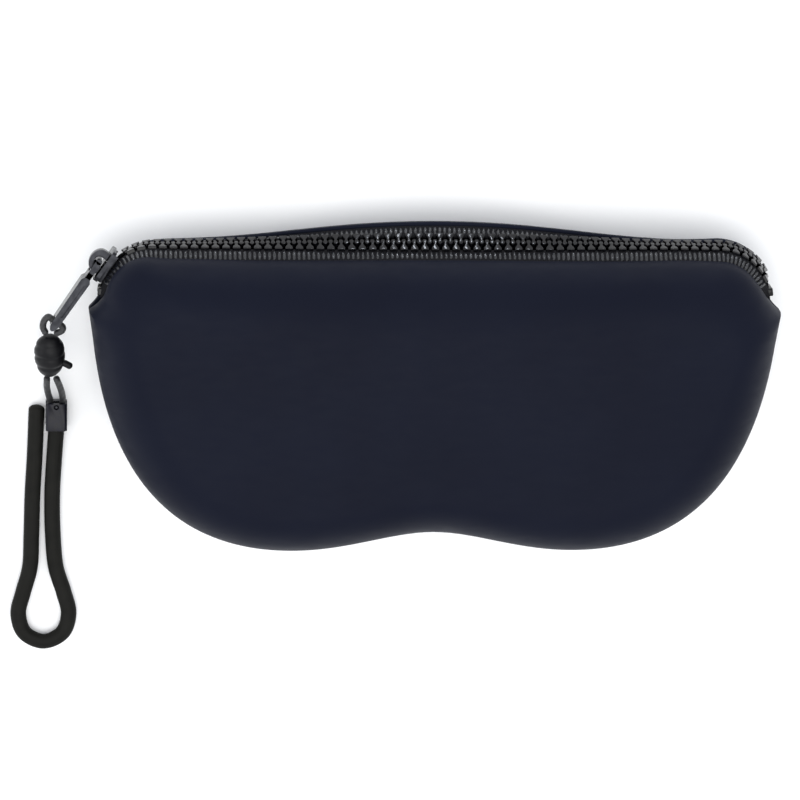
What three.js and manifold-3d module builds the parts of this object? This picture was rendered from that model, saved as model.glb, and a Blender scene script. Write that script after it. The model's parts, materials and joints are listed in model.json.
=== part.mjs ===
// A zipped glasses case: a soft moulded pouch in two halves, a moulded-tooth zip along the
// top, a slider with a puller, and a short rubber carrying strap on a knotted cord.
//
// Millimetres. X runs across the case, +Y towards the zip, +Z out of the front face. The
// origin is the centre of the flat area of the rear face, on which the case lies.

import * as THREE from 'three';
import { mergeVertices } from 'three/addons/utils/BufferGeometryUtils.js';
import Module from 'manifold-3d';

const wasm = await Module();
wasm.setup();

// ---- Driving dimensions ----

// Pouch outline, in the plane of the seam.
const CASE_HALF_WIDTH = 90;
const SHOULDER_Y = 22.5;
const SIDE_TOP_X = 88.8;
const SIDE_TOP_Y = 14;
const LOBE_X = 37;
const LOBE_Y = -42;
const NOTCH_DEPTH = 5;

// Pouch depth. The rear face is at z = 0.
const SEAM_Z = 18;
const FRONT_Z = 36;
const FRONT_CROWN = 1.4;
const WALL = 2.2;
const SEAM_GAP = 0.3;
const EDGE_RADIUS = 14;
const MOUTH_EDGE_RADIUS = 19;
const SPINE_HALF_LENGTH = 50;
const SPINE_Y = 2;

// Zip path: a nearly straight top run between two corner arcs, then a short drop.
const TOP_HALF_LENGTH = 73.3;
const TOP_RISE = 1;
const CORNER_RADIUS = 13.4;
const END_DROP = 3;
const LIP_HEIGHT = 1.2;
const MOUTH_HALF_GAP = 5.6;
const MOUTH_END_LENGTH = 8;
const ZIP_ROLL = THREE.MathUtils.degToRad(40);
const ROLL_HALF_LENGTH = 75;

// Zip parts.
const TOOTH_PITCH = 2.7;
const TOOTH_HALF_THICKNESS = 1.2;
const TOOTH_NECK_HALF = 0.4;
const TOOTH_HEAD_HALF = 0.74;
const TOOTH_BASE_HALF = 0.62;
const TOOTH_TIP_HALF = 0.5;
const TOOTH_REACH = 1.1;
const TOOTH_HEAD_START = 0.35;
const BEAD_INNER = 2.0;
const BEAD_OUTER = 2.7;
const TAPE_HALF_THICKNESS = 0.3;
const STOP_LENGTH = 2;
const CLEARANCE = 0.3;

// Slider, centred on the chain. Its nose points towards the left end of the zip.
const SLIDER_TURN = THREE.MathUtils.degToRad(55);
const SLIDER_HALF_LENGTH = 4.6;
const SLIDER_NOSE_HALF_WIDTH = 4.2;
const SLIDER_TAIL_HALF_WIDTH = 3.7;
const SLIDER_PLATE = 1;
const SLIDER_FLANGE = 0.6;
const SLIDER_POST_LENGTH = 2.2;
const SLIDER_POST_HALF_WIDTH = 0.9;
const BRIDGE_HALF_LENGTH = 3.1;
const BRIDGE_HALF_WIDTH = 1;
const BRIDGE_BAR = 1.3;
const WINDOW_HALF = 1.2;

// Puller. Its own +X runs from the pivot in the slider's bridge to the tip.
const PULLER_HEADING = THREE.MathUtils.degToRad(236);
const PULLER_LENGTH = 22;
const PULLER_HALF_THICKNESS = 1.3;
const PULLER_TIP_HALF_THICKNESS = 1.1;
const PULLER_HALF_WIDTH = 2.4;
const PULLER_EYE_HALF = 0.75;
const PULLER_NECK_LENGTH = 1.6;
const PULLER_HOLE_INSET = 2.2;

// Cord, knot and strap.
const CORD_RADIUS = 0.87;
const KNOT_CENTRE = new THREE.Vector3(-100, 9.0, 14.4);
const KNOT_HALF = new THREE.Vector3(4, 6.3, 3.6);
const KNOT_TILT = THREE.MathUtils.degToRad(20);
const STUB_RADIUS = 0.9;
const STUB_LENGTH = 6;
const STRAP_HALF_WIDTH = 2.1;
const STRAP_HALF_HEIGHT = 1.6;
const STRAP_Z = 1.9;
const CUFF_WIDTH = 5.6;
const CUFF_LENGTH = 7.4;
const CUFF_BOTTOM_Z = 0.3;
const CUFF_HEIGHT = 5.4;
const CUFF_SLOT_DEPTH = 3.8;
const CUFF_PIN_RADIUS = 0.5;
const CUFF_PIN_CLEARANCE = 0.15;
const CUFF_CENTRE_X = -98.2;
const CUFF_PIN_Y = -7.7;
const CORD_BEND_Z = 3.4;

// ---- Small helpers ----

const clamp01 = (value) => Math.min(1, Math.max(0, value));

// A closed solid through a list of rings of equal length. capFaces are triangles on the
// ring's own indices; the first ring carries them reversed. A solid that comes out
// inside-out is turned.
function loft(rings, capFaces) {
  const count = rings[0].length;
  const positions = rings.flat().flatMap((point) => [point.x, point.y, point.z]);
  const faces = [];
  for (let i = 0; i + 1 < rings.length; i += 1) {
    for (let j = 0; j < count; j += 1) {
      const next = (j + 1) % count;
      const a = i * count + j;
      const b = i * count + next;
      const c = (i + 1) * count + next;
      const d = (i + 1) * count + j;
      faces.push([a, b, c], [a, c, d]);
    }
  }
  const last = (rings.length - 1) * count;
  for (const [a, b, c] of capFaces) {
    faces.push([a, c, b], [last + a, last + b, last + c]);
  }
  const geometry = new THREE.BufferGeometry();
  geometry.setAttribute('position', new THREE.Float32BufferAttribute(positions, 3));
  const inward = signedVolume(positions, faces) < 0;
  geometry.setIndex(faces.flatMap(([a, b, c]) => (inward ? [a, c, b] : [a, b, c])));
  return geometry;
}

function signedVolume(positions, faces) {
  const corner = (index) => new THREE.Vector3().fromArray(positions, 3 * index);
  let sum = 0;
  for (const [a, b, c] of faces) {
    sum += corner(a).dot(corner(b).cross(corner(c))) / 6;
  }
  return sum;
}

// Triangles that close an outline, turned the same way round as the outline itself.
function capOf(outline) {
  const faces = THREE.ShapeUtils.triangulateShape([...outline], []);
  return THREE.ShapeUtils.isClockWise(outline) ? faces.map(([a, b, c]) => [a, c, b]) : faces;
}

function toSolid(geometry) {
  const bare = geometry.clone();
  bare.deleteAttribute('normal');
  bare.deleteAttribute('uv');
  const merged = mergeVertices(bare, 1e-4);
  return new wasm.Manifold(new wasm.Mesh({
    numProp: 3,
    vertProperties: new Float32Array(merged.attributes.position.array),
    triVerts: new Uint32Array(merged.index.array),
  }));
}

function toGeometry(solid) {
  const mesh = solid.getMesh();
  const geometry = new THREE.BufferGeometry();
  geometry.setAttribute('position', new THREE.BufferAttribute(mesh.vertProperties, 3));
  geometry.setIndex(new THREE.BufferAttribute(mesh.triVerts, 1));
  return geometry;
}

function join(...geometries) {
  return toGeometry(geometries.map(toSolid).reduce((whole, piece) => whole.add(piece)));
}

function cut(geometry, ...tools) {
  return toGeometry(tools.map(toSolid).reduce((whole, tool) => whole.subtract(tool), toSolid(geometry)));
}

function boxBetween(low, high) {
  const size = high.map((value, axis) => value - low[axis]);
  const centre = high.map((value, axis) => (value + low[axis]) / 2);
  return new THREE.BoxGeometry(...size).translate(...centre);
}

// A cylinder along Z between two heights.
function post(radius, x, y, lowZ, highZ, sides = 16) {
  const geometry = new THREE.CylinderGeometry(radius, radius, highZ - lowZ, sides);
  return geometry.rotateX(Math.PI / 2).translate(x, y, (lowZ + highZ) / 2);
}

// A tube of elliptic section along a smooth curve through the given points.
function tube(points, halfHeight, halfWidth, sides, steps) {
  const section = new THREE.Shape();
  section.absellipse(0, 0, halfHeight, halfWidth, 0, 2 * Math.PI, false, 0);
  return new THREE.ExtrudeGeometry(section, {
    curveSegments: sides / 2,
    steps,
    extrudePath: new THREE.CatmullRomCurve3(points, false, 'centripetal'),
  });
}

// ---- Zip path ----

// s runs along the chain from the middle of the top run, positive towards the right end.
const CORNER_CENTRE_Y = SHOULDER_Y + END_DROP;
const TOP_Y = CORNER_CENTRE_Y + CORNER_RADIUS;
const CORNER_LENGTH = CORNER_RADIUS * Math.PI / 2;
const ZIP_HALF_LENGTH = TOP_HALF_LENGTH + CORNER_LENGTH + END_DROP;

function zipCentre(s) {
  const side = Math.sign(s) || 1;
  const distance = Math.abs(s);
  if (distance <= TOP_HALF_LENGTH) {
    const rise = TOP_RISE * (0.5 + 0.5 * Math.cos(Math.PI * distance / TOP_HALF_LENGTH));
    return { point: new THREE.Vector2(s, TOP_Y + rise), normal: new THREE.Vector2(0, 1) };
  }
  const turn = Math.min((distance - TOP_HALF_LENGTH) / CORNER_RADIUS, Math.PI / 2);
  const drop = Math.max(0, distance - TOP_HALF_LENGTH - CORNER_LENGTH);
  const normal = new THREE.Vector2(side * Math.sin(turn), Math.cos(turn));
  const point = new THREE.Vector2(side * TOP_HALF_LENGTH, CORNER_CENTRE_Y - drop)
    .addScaledVector(normal, CORNER_RADIUS);
  return { point, normal };
}

// The chain turns to face up and forward along the middle of the top run.
function zipRoll(s) {
  return ZIP_ROLL * (0.5 + 0.5 * Math.cos(Math.PI * clamp01(Math.abs(s) / ROLL_HALF_LENGTH)));
}

function mouthHalfGap(s) {
  const fromEnd = clamp01((ZIP_HALF_LENGTH - Math.abs(s)) / MOUTH_END_LENGTH);
  const closed = SEAM_GAP / 2;
  return closed + (MOUTH_HALF_GAP - closed) * Math.sin(fromEnd * Math.PI / 2);
}

// A point beside the chain: across it (positive on the front half's side) and above it
// (positive outwards).
function besideZip(s, across, above) {
  const { point, normal } = zipCentre(s);
  const roll = zipRoll(s);
  const outward = above * Math.cos(roll) - across * Math.sin(roll);
  return new THREE.Vector3(
    point.x + normal.x * outward,
    point.y + normal.y * outward,
    SEAM_Z + across * Math.cos(roll) + above * Math.sin(roll),
  );
}

// ---- Pouch halves ----

const SEAM_STEPS = { notch: 6, lobe: 13, side: 3, corner: 14, top: 11 };
const EDGE_STEPS = 6;
const CROWN_STEPS = [0.35, 0.7];

// Stations round the case, from the notch up the right side to the top and down the left
// side. Each has the seam or lip point, the outward direction and its place on the zip.
function outlineStations() {
  const notch = new THREE.CubicBezierCurve(
    new THREE.Vector2(0, LOBE_Y + NOTCH_DEPTH),
    new THREE.Vector2(0.3 * LOBE_X, LOBE_Y + NOTCH_DEPTH),
    new THREE.Vector2(0.6 * LOBE_X, LOBE_Y),
    new THREE.Vector2(LOBE_X, LOBE_Y),
  );
  const lobeReach = SIDE_TOP_X - LOBE_X;
  const lobeRise = SIDE_TOP_Y - LOBE_Y;
  const lobe = new THREE.CubicBezierCurve(
    new THREE.Vector2(LOBE_X, LOBE_Y),
    new THREE.Vector2(LOBE_X + 0.64 * lobeReach, LOBE_Y),
    new THREE.Vector2(LOBE_X + 0.93 * lobeReach, LOBE_Y + 0.41 * lobeRise),
    new THREE.Vector2(SIDE_TOP_X, SIDE_TOP_Y),
  );
  const side = new THREE.LineCurve(
    new THREE.Vector2(SIDE_TOP_X, SIDE_TOP_Y),
    new THREE.Vector2(CASE_HALF_WIDTH, SHOULDER_Y),
  );
  const right = [];
  for (const [curve, steps] of [[notch, SEAM_STEPS.notch], [lobe, SEAM_STEPS.lobe], [side, SEAM_STEPS.side]]) {
    for (let i = 0; i < steps; i += 1) {
      const tangent = curve.getTangentAt(i / steps);
      right.push({ point: curve.getPointAt(i / steps), normal: new THREE.Vector2(tangent.y, -tangent.x), s: null });
    }
  }
  const cornerEnd = ZIP_HALF_LENGTH - TOP_HALF_LENGTH;
  for (let i = 0; i < SEAM_STEPS.corner; i += 1) {
    right.push(zipStation(ZIP_HALF_LENGTH - cornerEnd * i / SEAM_STEPS.corner));
  }
  for (let i = 0; i <= SEAM_STEPS.top; i += 1) {
    right.push(zipStation(TOP_HALF_LENGTH * (1 - i / SEAM_STEPS.top)));
  }
  const mirrored = right.slice(1, -1).reverse().map((station) => ({
    ...station,
    point: new THREE.Vector2(-station.point.x, station.point.y),
    normal: new THREE.Vector2(-station.normal.x, station.normal.y),
    s: station.s === null ? null : -station.s,
  }));
  return [...right, ...mirrored];
}

// The lip stands above the chain. At the ends of the zip it runs out to the full outline,
// which leaves a small shoulder on each side.
function zipStation(s) {
  const { point, normal } = zipCentre(s);
  const shoulder = CASE_HALF_WIDTH - TOP_HALF_LENGTH - CORNER_RADIUS - LIP_HEIGHT;
  const nearEnd = 1 - clamp01((ZIP_HALF_LENGTH - Math.abs(s)) / (0.6 * MOUTH_END_LENGTH));
  const height = LIP_HEIGHT + shoulder * nearEnd * nearEnd;
  return { point: point.clone().addScaledVector(normal, height), normal, s, height };
}

// How far the rounded edge reaches in from the outline, more at the mouth than round the
// lobes.
function edgeRadius(station) {
  if (station.s === null) {
    return EDGE_RADIUS;
  }
  const fromEnd = clamp01((ZIP_HALF_LENGTH - Math.abs(station.s)) / (CORNER_LENGTH + END_DROP));
  return EDGE_RADIUS + (MOUTH_EDGE_RADIUS - EDGE_RADIUS) * fromEnd * fromEnd * (3 - 2 * fromEnd);
}

// A point on the flat rim of one half, at a depth below its outer edge.
function rimPoint(station, side, depth) {
  const { point, normal, s } = station;
  if (s !== null) {
    return besideZip(s, side * mouthHalfGap(s), station.height - depth);
  }
  return new THREE.Vector3(
    point.x - depth * normal.x,
    point.y - depth * normal.y,
    SEAM_Z + side * SEAM_GAP / 2,
  );
}

// side is -1 for the rear half and +1 for the front half. The solid runs from the outer
// face over the rounded edge to the rim, and back along the inner face.
function pouchHalf(side, faceZ, crown) {
  const stations = outlineStations();
  const spine = (point) => new THREE.Vector2(SPINE_HALF_LENGTH * point.x / CASE_HALF_WIDTH, SPINE_Y);
  const columns = stations.map((station) => {
    const target = spine(station.point);
    const radius = edgeRadius(station);
    const outer = skinColumn(rimPoint(station, side, 0), target, radius, faceZ, crown);
    const inner = skinColumn(rimPoint(station, side, WALL), target, radius, faceZ - side * WALL, crown);
    return [...outer.reverse(), ...inner];
  });
  const rings = columns[0].map((_, index) => columns.map((column) => column[index]));
  const capFaces = capOf(rings[0].map((point) => new THREE.Vector2(point.x, point.y)));
  return loft(rings, capFaces);
}

// Points from the rim over a quarter-ellipse edge and on over the crowned face.
function skinColumn(rim, target, radius, faceZ, crown) {
  const inward = target.clone().sub(new THREE.Vector2(rim.x, rim.y));
  const reach = inward.length();
  inward.normalize();
  const at = (inset, z) => new THREE.Vector3(rim.x + inward.x * inset, rim.y + inward.y * inset, z);
  const points = [];
  for (let i = 0; i <= EDGE_STEPS; i += 1) {
    const turn = Math.PI / 2 * i / EDGE_STEPS;
    points.push(at(radius * (1 - Math.cos(turn)), rim.z + (faceZ - rim.z) * Math.sin(turn)));
  }
  for (const share of crown > 0 ? CROWN_STEPS : []) {
    points.push(at(radius + (reach - radius) * share, faceZ + crown * (1 - (1 - share) ** 2)));
  }
  return points;
}

// ---- Zip parts ----

const TAPE_STEPS = 64;
const PLAIN_CELLS = 6;
const QUAD_CAP = [[0, 1, 2], [0, 2, 3]];

// A strip beside the chain with a rectangular section, from inner(s) to outer(s) across.
function zipStrip(side, from, to, inner, outer, halfThickness, steps) {
  const rings = [];
  for (let i = 0; i <= steps; i += 1) {
    const s = from + (to - from) * i / steps;
    rings.push([
      besideZip(s, side * inner, -halfThickness),
      besideZip(s, side * outer(s), -halfThickness),
      besideZip(s, side * outer(s), halfThickness),
      besideZip(s, side * inner, halfThickness),
    ]);
  }
  return loft(rings, QUAD_CAP);
}

const SLIDER_S = -(TOP_HALF_LENGTH + CORNER_RADIUS * SLIDER_TURN);
const SLIDER_SPAN = SLIDER_HALF_LENGTH + CLEARANCE;
const LEFT_STOP_START = SLIDER_S - SLIDER_SPAN;
const RIGHT_STOP_START = -LEFT_STOP_START;
const TAPE_END = ZIP_HALF_LENGTH - 0.5 * MOUTH_END_LENGTH;
const TAPE_INNER = BEAD_OUTER + CLEARANCE;

function zipTape(side) {
  const outer = (s) => mouthHalfGap(s) - CLEARANCE;
  return zipStrip(side, -TAPE_END, TAPE_END, TAPE_INNER, outer, TAPE_HALF_THICKNESS, TAPE_STEPS);
}

// One side of a tooth, from the bead out: a base, a neck, and a head that locks behind the
// heads opposite. Each entry is a half-width along the chain and a place across it.
const TOOTH_PROFILE = [
  [TOOTH_BASE_HALF, BEAD_INNER],
  [TOOTH_NECK_HALF, 0],
  [TOOTH_HEAD_HALF, -TOOTH_HEAD_START],
  [TOOTH_TIP_HALF, -TOOTH_REACH],
];

// The teeth of one side stand on a moulded bead, like a comb. The front row is half a pitch
// along from the rear row. The bead is laid out in cells: plain ones under the slider, then
// one for each tooth.
function toothRow(side) {
  const start = LEFT_STOP_START;
  const end = RIGHT_STOP_START - CLEARANCE;
  const firstTooth = SLIDER_S + SLIDER_SPAN + TOOTH_HEAD_HALF + (side > 0 ? TOOTH_PITCH / 2 : 0);
  const cells = [];
  for (let i = 0; i < PLAIN_CELLS; i += 1) {
    cells.push({ from: start + (firstTooth - TOOTH_PITCH / 2 - start) * i / PLAIN_CELLS, teeth: [] });
  }
  for (let s = firstTooth; s + TOOTH_PITCH / 2 < end; s += TOOTH_PITCH) {
    cells.push({ from: s - TOOTH_PITCH / 2, teeth: [s] });
  }
  const inner = [];
  for (const cell of cells) {
    cell.first = inner.length;
    inner.push([cell.from, BEAD_INNER]);
    for (const s of cell.teeth) {
      inner.push(...TOOTH_PROFILE.map(([along, across]) => [s - along, across]));
      inner.push(...TOOTH_PROFILE.map(([along, across]) => [s + along, across]).reverse());
    }
    cell.last = inner.length;
  }
  inner.push([end, BEAD_INNER]);
  const outer = [...cells.map((cell) => [cell.from, BEAD_OUTER]), [end, BEAD_OUTER]].reverse();
  const comb = [...inner, ...outer];
  const capFaces = cells.flatMap((cell, index) => {
    const indices = [];
    for (let i = cell.first; i <= cell.last; i += 1) {
      indices.push(i);
    }
    indices.push(comb.length - 2 - index, comb.length - 1 - index);
    const outline = indices.map((i) => new THREE.Vector2(...comb[i]));
    return capOf(outline).map((face) => face.map((corner) => indices[corner]));
  });
  const ring = (above) => comb.map(([s, across]) => besideZip(s, side * across, above));
  return loft([ring(-TOOTH_HALF_THICKNESS), ring(TOOTH_HALF_THICKNESS)], capFaces);
}

// A stop block along the chain between two places across it.
function stopBlock(start, inner, outer) {
  const rings = [start, start + Math.sign(start) * STOP_LENGTH].map((s) => [
    besideZip(s, inner, -TOOTH_HALF_THICKNESS),
    besideZip(s, outer, -TOOTH_HALF_THICKNESS),
    besideZip(s, outer, TOOTH_HALF_THICKNESS),
    besideZip(s, inner, TOOTH_HALF_THICKNESS),
  ]);
  return loft(rings, QUAD_CAP);
}

// ---- Slider ----

// In the slider's own frame +X runs from nose to tail, +Y out of the case, Z across.
const PLATE_INNER_Y = TOOTH_HALF_THICKNESS + 0.8 * CLEARANCE;
const PLATE_OUTER_Y = PLATE_INNER_Y + SLIDER_PLATE;
const CHAIN_SAGITTA = SLIDER_HALF_LENGTH ** 2 / (2 * CORNER_RADIUS);
const LOWER_INNER_Y = -(TOOTH_HALF_THICKNESS + CHAIN_SAGITTA + CLEARANCE);
const LOWER_OUTER_Y = LOWER_INNER_Y - SLIDER_PLATE;
const PIVOT_Y = PLATE_OUTER_Y + WINDOW_HALF + 0.1;

function sliderPlate(lowY) {
  const shape = new THREE.Shape();
  const corner = 0.3 * SLIDER_NOSE_HALF_WIDTH;
  shape.moveTo(-SLIDER_HALF_LENGTH + corner, -SLIDER_NOSE_HALF_WIDTH);
  shape.lineTo(SLIDER_HALF_LENGTH, -SLIDER_TAIL_HALF_WIDTH);
  shape.lineTo(SLIDER_HALF_LENGTH, SLIDER_TAIL_HALF_WIDTH);
  shape.lineTo(-SLIDER_HALF_LENGTH + corner, SLIDER_NOSE_HALF_WIDTH);
  shape.quadraticCurveTo(-SLIDER_HALF_LENGTH, SLIDER_NOSE_HALF_WIDTH,
    -SLIDER_HALF_LENGTH, SLIDER_NOSE_HALF_WIDTH - corner);
  shape.lineTo(-SLIDER_HALF_LENGTH, -SLIDER_NOSE_HALF_WIDTH + corner);
  shape.quadraticCurveTo(-SLIDER_HALF_LENGTH, -SLIDER_NOSE_HALF_WIDTH,
    -SLIDER_HALF_LENGTH + corner, -SLIDER_NOSE_HALF_WIDTH);
  const geometry = new THREE.ExtrudeGeometry(shape, {
    depth: SLIDER_PLATE, curveSegments: 3, bevelEnabled: false,
  });
  return geometry.rotateX(-Math.PI / 2).translate(0, lowY, 0);
}

// The bridge is an arch over the upper plate, with a window for the puller's cross bar.
function sliderBridge() {
  const root = PLATE_OUTER_Y - 0.3 * SLIDER_PLATE;
  const windowTop = PIVOT_Y + WINDOW_HALF;
  const top = windowTop + BRIDGE_BAR;
  const shape = new THREE.Shape();
  shape.moveTo(-BRIDGE_HALF_LENGTH, root);
  shape.lineTo(-WINDOW_HALF, root);
  shape.lineTo(-WINDOW_HALF, windowTop);
  shape.lineTo(WINDOW_HALF, windowTop);
  shape.lineTo(WINDOW_HALF, root);
  shape.lineTo(BRIDGE_HALF_LENGTH, root);
  shape.lineTo(BRIDGE_HALF_LENGTH, PIVOT_Y);
  shape.bezierCurveTo(BRIDGE_HALF_LENGTH, top, WINDOW_HALF, top, 0, top);
  shape.bezierCurveTo(-WINDOW_HALF, top, -BRIDGE_HALF_LENGTH, top, -BRIDGE_HALF_LENGTH, PIVOT_Y);
  const geometry = new THREE.ExtrudeGeometry(shape, {
    depth: 2 * BRIDGE_HALF_WIDTH, curveSegments: 5, bevelEnabled: false,
  });
  return geometry.translate(0, 0, -BRIDGE_HALF_WIDTH);
}

function sliderBody() {
  const postStart = -SLIDER_HALF_LENGTH + SLIDER_FLANGE;
  const diamond = boxBetween(
    [postStart, LOWER_OUTER_Y + 0.5 * SLIDER_PLATE, -SLIDER_POST_HALF_WIDTH],
    [postStart + SLIDER_POST_LENGTH, PLATE_INNER_Y + 0.5 * SLIDER_PLATE, SLIDER_POST_HALF_WIDTH],
  );
  const flangeInner = SLIDER_TAIL_HALF_WIDTH - SLIDER_FLANGE;
  const flanges = [];
  for (const across of [-1, 1]) {
    const [low, high] = [across * flangeInner, across * SLIDER_TAIL_HALF_WIDTH].sort((a, b) => a - b);
    const reach = SLIDER_HALF_LENGTH - SLIDER_FLANGE;
    const slotTop = TAPE_HALF_THICKNESS + 0.8 * CLEARANCE;
    const slotBottom = -(TAPE_HALF_THICKNESS + CHAIN_SAGITTA + CLEARANCE);
    flanges.push(boxBetween([-reach, slotTop, low], [reach, PLATE_INNER_Y + 0.5 * SLIDER_PLATE, high]));
    flanges.push(boxBetween([-reach, LOWER_OUTER_Y + 0.5 * SLIDER_PLATE, low], [reach, slotBottom, high]));
  }
  return join(
    sliderPlate(PLATE_INNER_Y), sliderPlate(LOWER_OUTER_Y), diamond, ...flanges, sliderBridge(),
  );
}

// ---- Puller ----

const EYE_INNER = BRIDGE_HALF_WIDTH + CLEARANCE;
const NECK_START = Math.hypot(BRIDGE_HALF_LENGTH, PIVOT_Y - PLATE_OUTER_Y) + CLEARANCE;
const PULLER_BODY_START = Math.max(NECK_START + PULLER_NECK_LENGTH, SLIDER_HALF_LENGTH + CLEARANCE);
const PULLER_HOLE_X = PULLER_LENGTH - PULLER_HOLE_INSET;

function pullerBody() {
  const shape = new THREE.Shape();
  const taper = 0.6;
  shape.moveTo(PULLER_BODY_START, -PULLER_EYE_HALF);
  shape.lineTo(PULLER_BODY_START + taper, -PULLER_HALF_THICKNESS);
  shape.lineTo(PULLER_HOLE_X, -PULLER_TIP_HALF_THICKNESS);
  shape.quadraticCurveTo(PULLER_LENGTH, -PULLER_TIP_HALF_THICKNESS, PULLER_LENGTH, 0);
  shape.quadraticCurveTo(PULLER_LENGTH, PULLER_TIP_HALF_THICKNESS, PULLER_HOLE_X, PULLER_TIP_HALF_THICKNESS);
  shape.lineTo(PULLER_BODY_START + taper, PULLER_HALF_THICKNESS);
  shape.lineTo(PULLER_BODY_START, PULLER_EYE_HALF);
  const geometry = new THREE.ExtrudeGeometry(shape, {
    depth: 2 * PULLER_HALF_WIDTH, curveSegments: 4, bevelEnabled: false,
  });
  return geometry.translate(0, 0, -PULLER_HALF_WIDTH);
}

function puller() {
  const crossBar = post(PULLER_EYE_HALF, 0, 0, -PULLER_HALF_WIDTH, PULLER_HALF_WIDTH, 12);
  const sideBars = [-1, 1].map((across) => {
    const [low, high] = [across * EYE_INNER, across * PULLER_HALF_WIDTH].sort((a, b) => a - b);
    return boxBetween([0, -PULLER_EYE_HALF, low], [NECK_START + 0.5 * PULLER_NECK_LENGTH, PULLER_EYE_HALF, high]);
  });
  const neck = boxBetween(
    [NECK_START, -PULLER_EYE_HALF, -PULLER_HALF_WIDTH],
    [PULLER_BODY_START + CLEARANCE, PULLER_EYE_HALF, PULLER_HALF_WIDTH],
  );
  const whole = join(crossBar, ...sideBars, neck, pullerBody());
  const holeRadius = CORD_RADIUS + 1.5 * CLEARANCE;
  const hole = new THREE.CylinderGeometry(holeRadius, holeRadius, 4 * PULLER_HALF_THICKNESS, 16);
  return cut(whole, hole.translate(PULLER_HOLE_X, 0, 0));
}

// ---- Places on the case ----

const sliderPlace = zipCentre(SLIDER_S);
const sliderCentre = new THREE.Vector3(sliderPlace.point.x, sliderPlace.point.y, SEAM_Z);
const pivot = new THREE.Vector3(
  sliderCentre.x + PIVOT_Y * sliderPlace.normal.x,
  sliderCentre.y + PIVOT_Y * sliderPlace.normal.y,
  SEAM_Z,
);
const cordHole = new THREE.Vector3(
  pivot.x + PULLER_HOLE_X * Math.cos(PULLER_HEADING),
  pivot.y + PULLER_HOLE_X * Math.sin(PULLER_HEADING),
  SEAM_Z,
);

// ---- Cord, knot, cuff and strap ----

// Offsets from the puller's cord hole: the cord comes up beside the tip, through the hole
// and down the other side.
const EYE_ROUTE = [
  [-2.7, -3.0, -0.6], [-3.3, -1.4, -0.3], [-2.9, 0.4, 0], [-1.9, 1.3, 0], [-0.8, 0.55, 0],
  [0.8, -0.55, 0], [1.75, -1.35, 0], [1.6, -2.4, -0.3], [0.2, -3.2, -0.6],
];

// The loop of cord below the knot, round the cuff's pin and back.
const LOOP_ROUTE = [
  [-100.7, 2.0, 12.0], [-100.7, -1.2, 8.6], [-100.3, -4.2, 5.2], [-99.85, -6.3, 3.6],
  [-99.8, -7.7, CORD_BEND_Z], [-99.33, -8.83, CORD_BEND_Z], [-98.2, -9.3, CORD_BEND_Z],
  [-97.07, -8.83, CORD_BEND_Z], [-96.6, -7.7, CORD_BEND_Z], [-96.55, -6.3, 3.6],
  [-96.7, -4.2, 5.2], [-97.3, -1.2, 8.6], [-98.2, 2.0, 12.0],
];

// The strap leaves the cuff, turns back and ends beside the cuff.
const STRAP_ROUTE = [
  [-98.2, -14.4], [-98.8, -23], [-99.3, -33], [-99.1, -44], [-98.3, -53], [-96.2, -60],
  [-94.9, -66], [-96.6, -71.4], [-101.6, -73.8], [-106.6, -71.4], [-108.3, -66],
  [-107, -60], [-105.2, -53], [-104.8, -44], [-104.5, -33], [-103.9, -22], [-103.4, -9.2],
];

function knot() {
  const ball = new THREE.SphereGeometry(1, 14, 10).scale(KNOT_HALF.x, KNOT_HALF.y, KNOT_HALF.z);
  ball.rotateX(KNOT_TILT);
  const stub = new THREE.CylinderGeometry(STUB_RADIUS, STUB_RADIUS, STUB_LENGTH, 10);
  stub.rotateZ(Math.PI / 2 - 0.4).translate(0.5 * STUB_LENGTH, -2, 0);
  return join(ball, stub);
}

// The cuff holds the strap's end in its lower half. Its upper half is forked, and a pin
// through the fork holds the cord loop.
const CUFF_TOP_Y = CUFF_PIN_Y + 3 * CLEARANCE;
const CUFF_BASE_Y = CUFF_TOP_Y - CUFF_LENGTH;
const CUFF_TOP_Z = CUFF_BOTTOM_Z + CUFF_HEIGHT;
const CUFF_BEVEL = 0.6;

function cuff() {
  const block = new THREE.Shape();
  block.moveTo(-0.5 * CUFF_WIDTH + CUFF_BEVEL, CUFF_BOTTOM_Z);
  block.lineTo(0.5 * CUFF_WIDTH - CUFF_BEVEL, CUFF_BOTTOM_Z);
  block.lineTo(0.5 * CUFF_WIDTH, CUFF_BOTTOM_Z + CUFF_BEVEL);
  block.lineTo(0.5 * CUFF_WIDTH, CUFF_TOP_Z - CUFF_BEVEL);
  block.lineTo(0.5 * CUFF_WIDTH - CUFF_BEVEL, CUFF_TOP_Z);
  block.lineTo(-0.5 * CUFF_WIDTH + CUFF_BEVEL, CUFF_TOP_Z);
  block.lineTo(-0.5 * CUFF_WIDTH, CUFF_TOP_Z - CUFF_BEVEL);
  block.lineTo(-0.5 * CUFF_WIDTH, CUFF_BOTTOM_Z + CUFF_BEVEL);
  const solid = new THREE.ExtrudeGeometry(block, { depth: CUFF_LENGTH, bevelEnabled: false });
  solid.rotateX(Math.PI / 2).translate(CUFF_CENTRE_X, CUFF_TOP_Y, 0);
  const slotHalf = CORD_RADIUS + CLEARANCE;
  const slot = boxBetween(
    [CUFF_CENTRE_X - CUFF_WIDTH, CUFF_TOP_Y - CUFF_SLOT_DEPTH, CORD_BEND_Z - slotHalf],
    [CUFF_CENTRE_X + CUFF_WIDTH, CUFF_TOP_Y + CUFF_SLOT_DEPTH, CORD_BEND_Z + slotHalf],
  );
  const pinHole = post(
    CUFF_PIN_RADIUS + CUFF_PIN_CLEARANCE, CUFF_CENTRE_X, CUFF_PIN_Y, CUFF_BOTTOM_Z - 1, CUFF_TOP_Z + 1,
  );
  return cut(solid, slot, pinHole);
}

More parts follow.
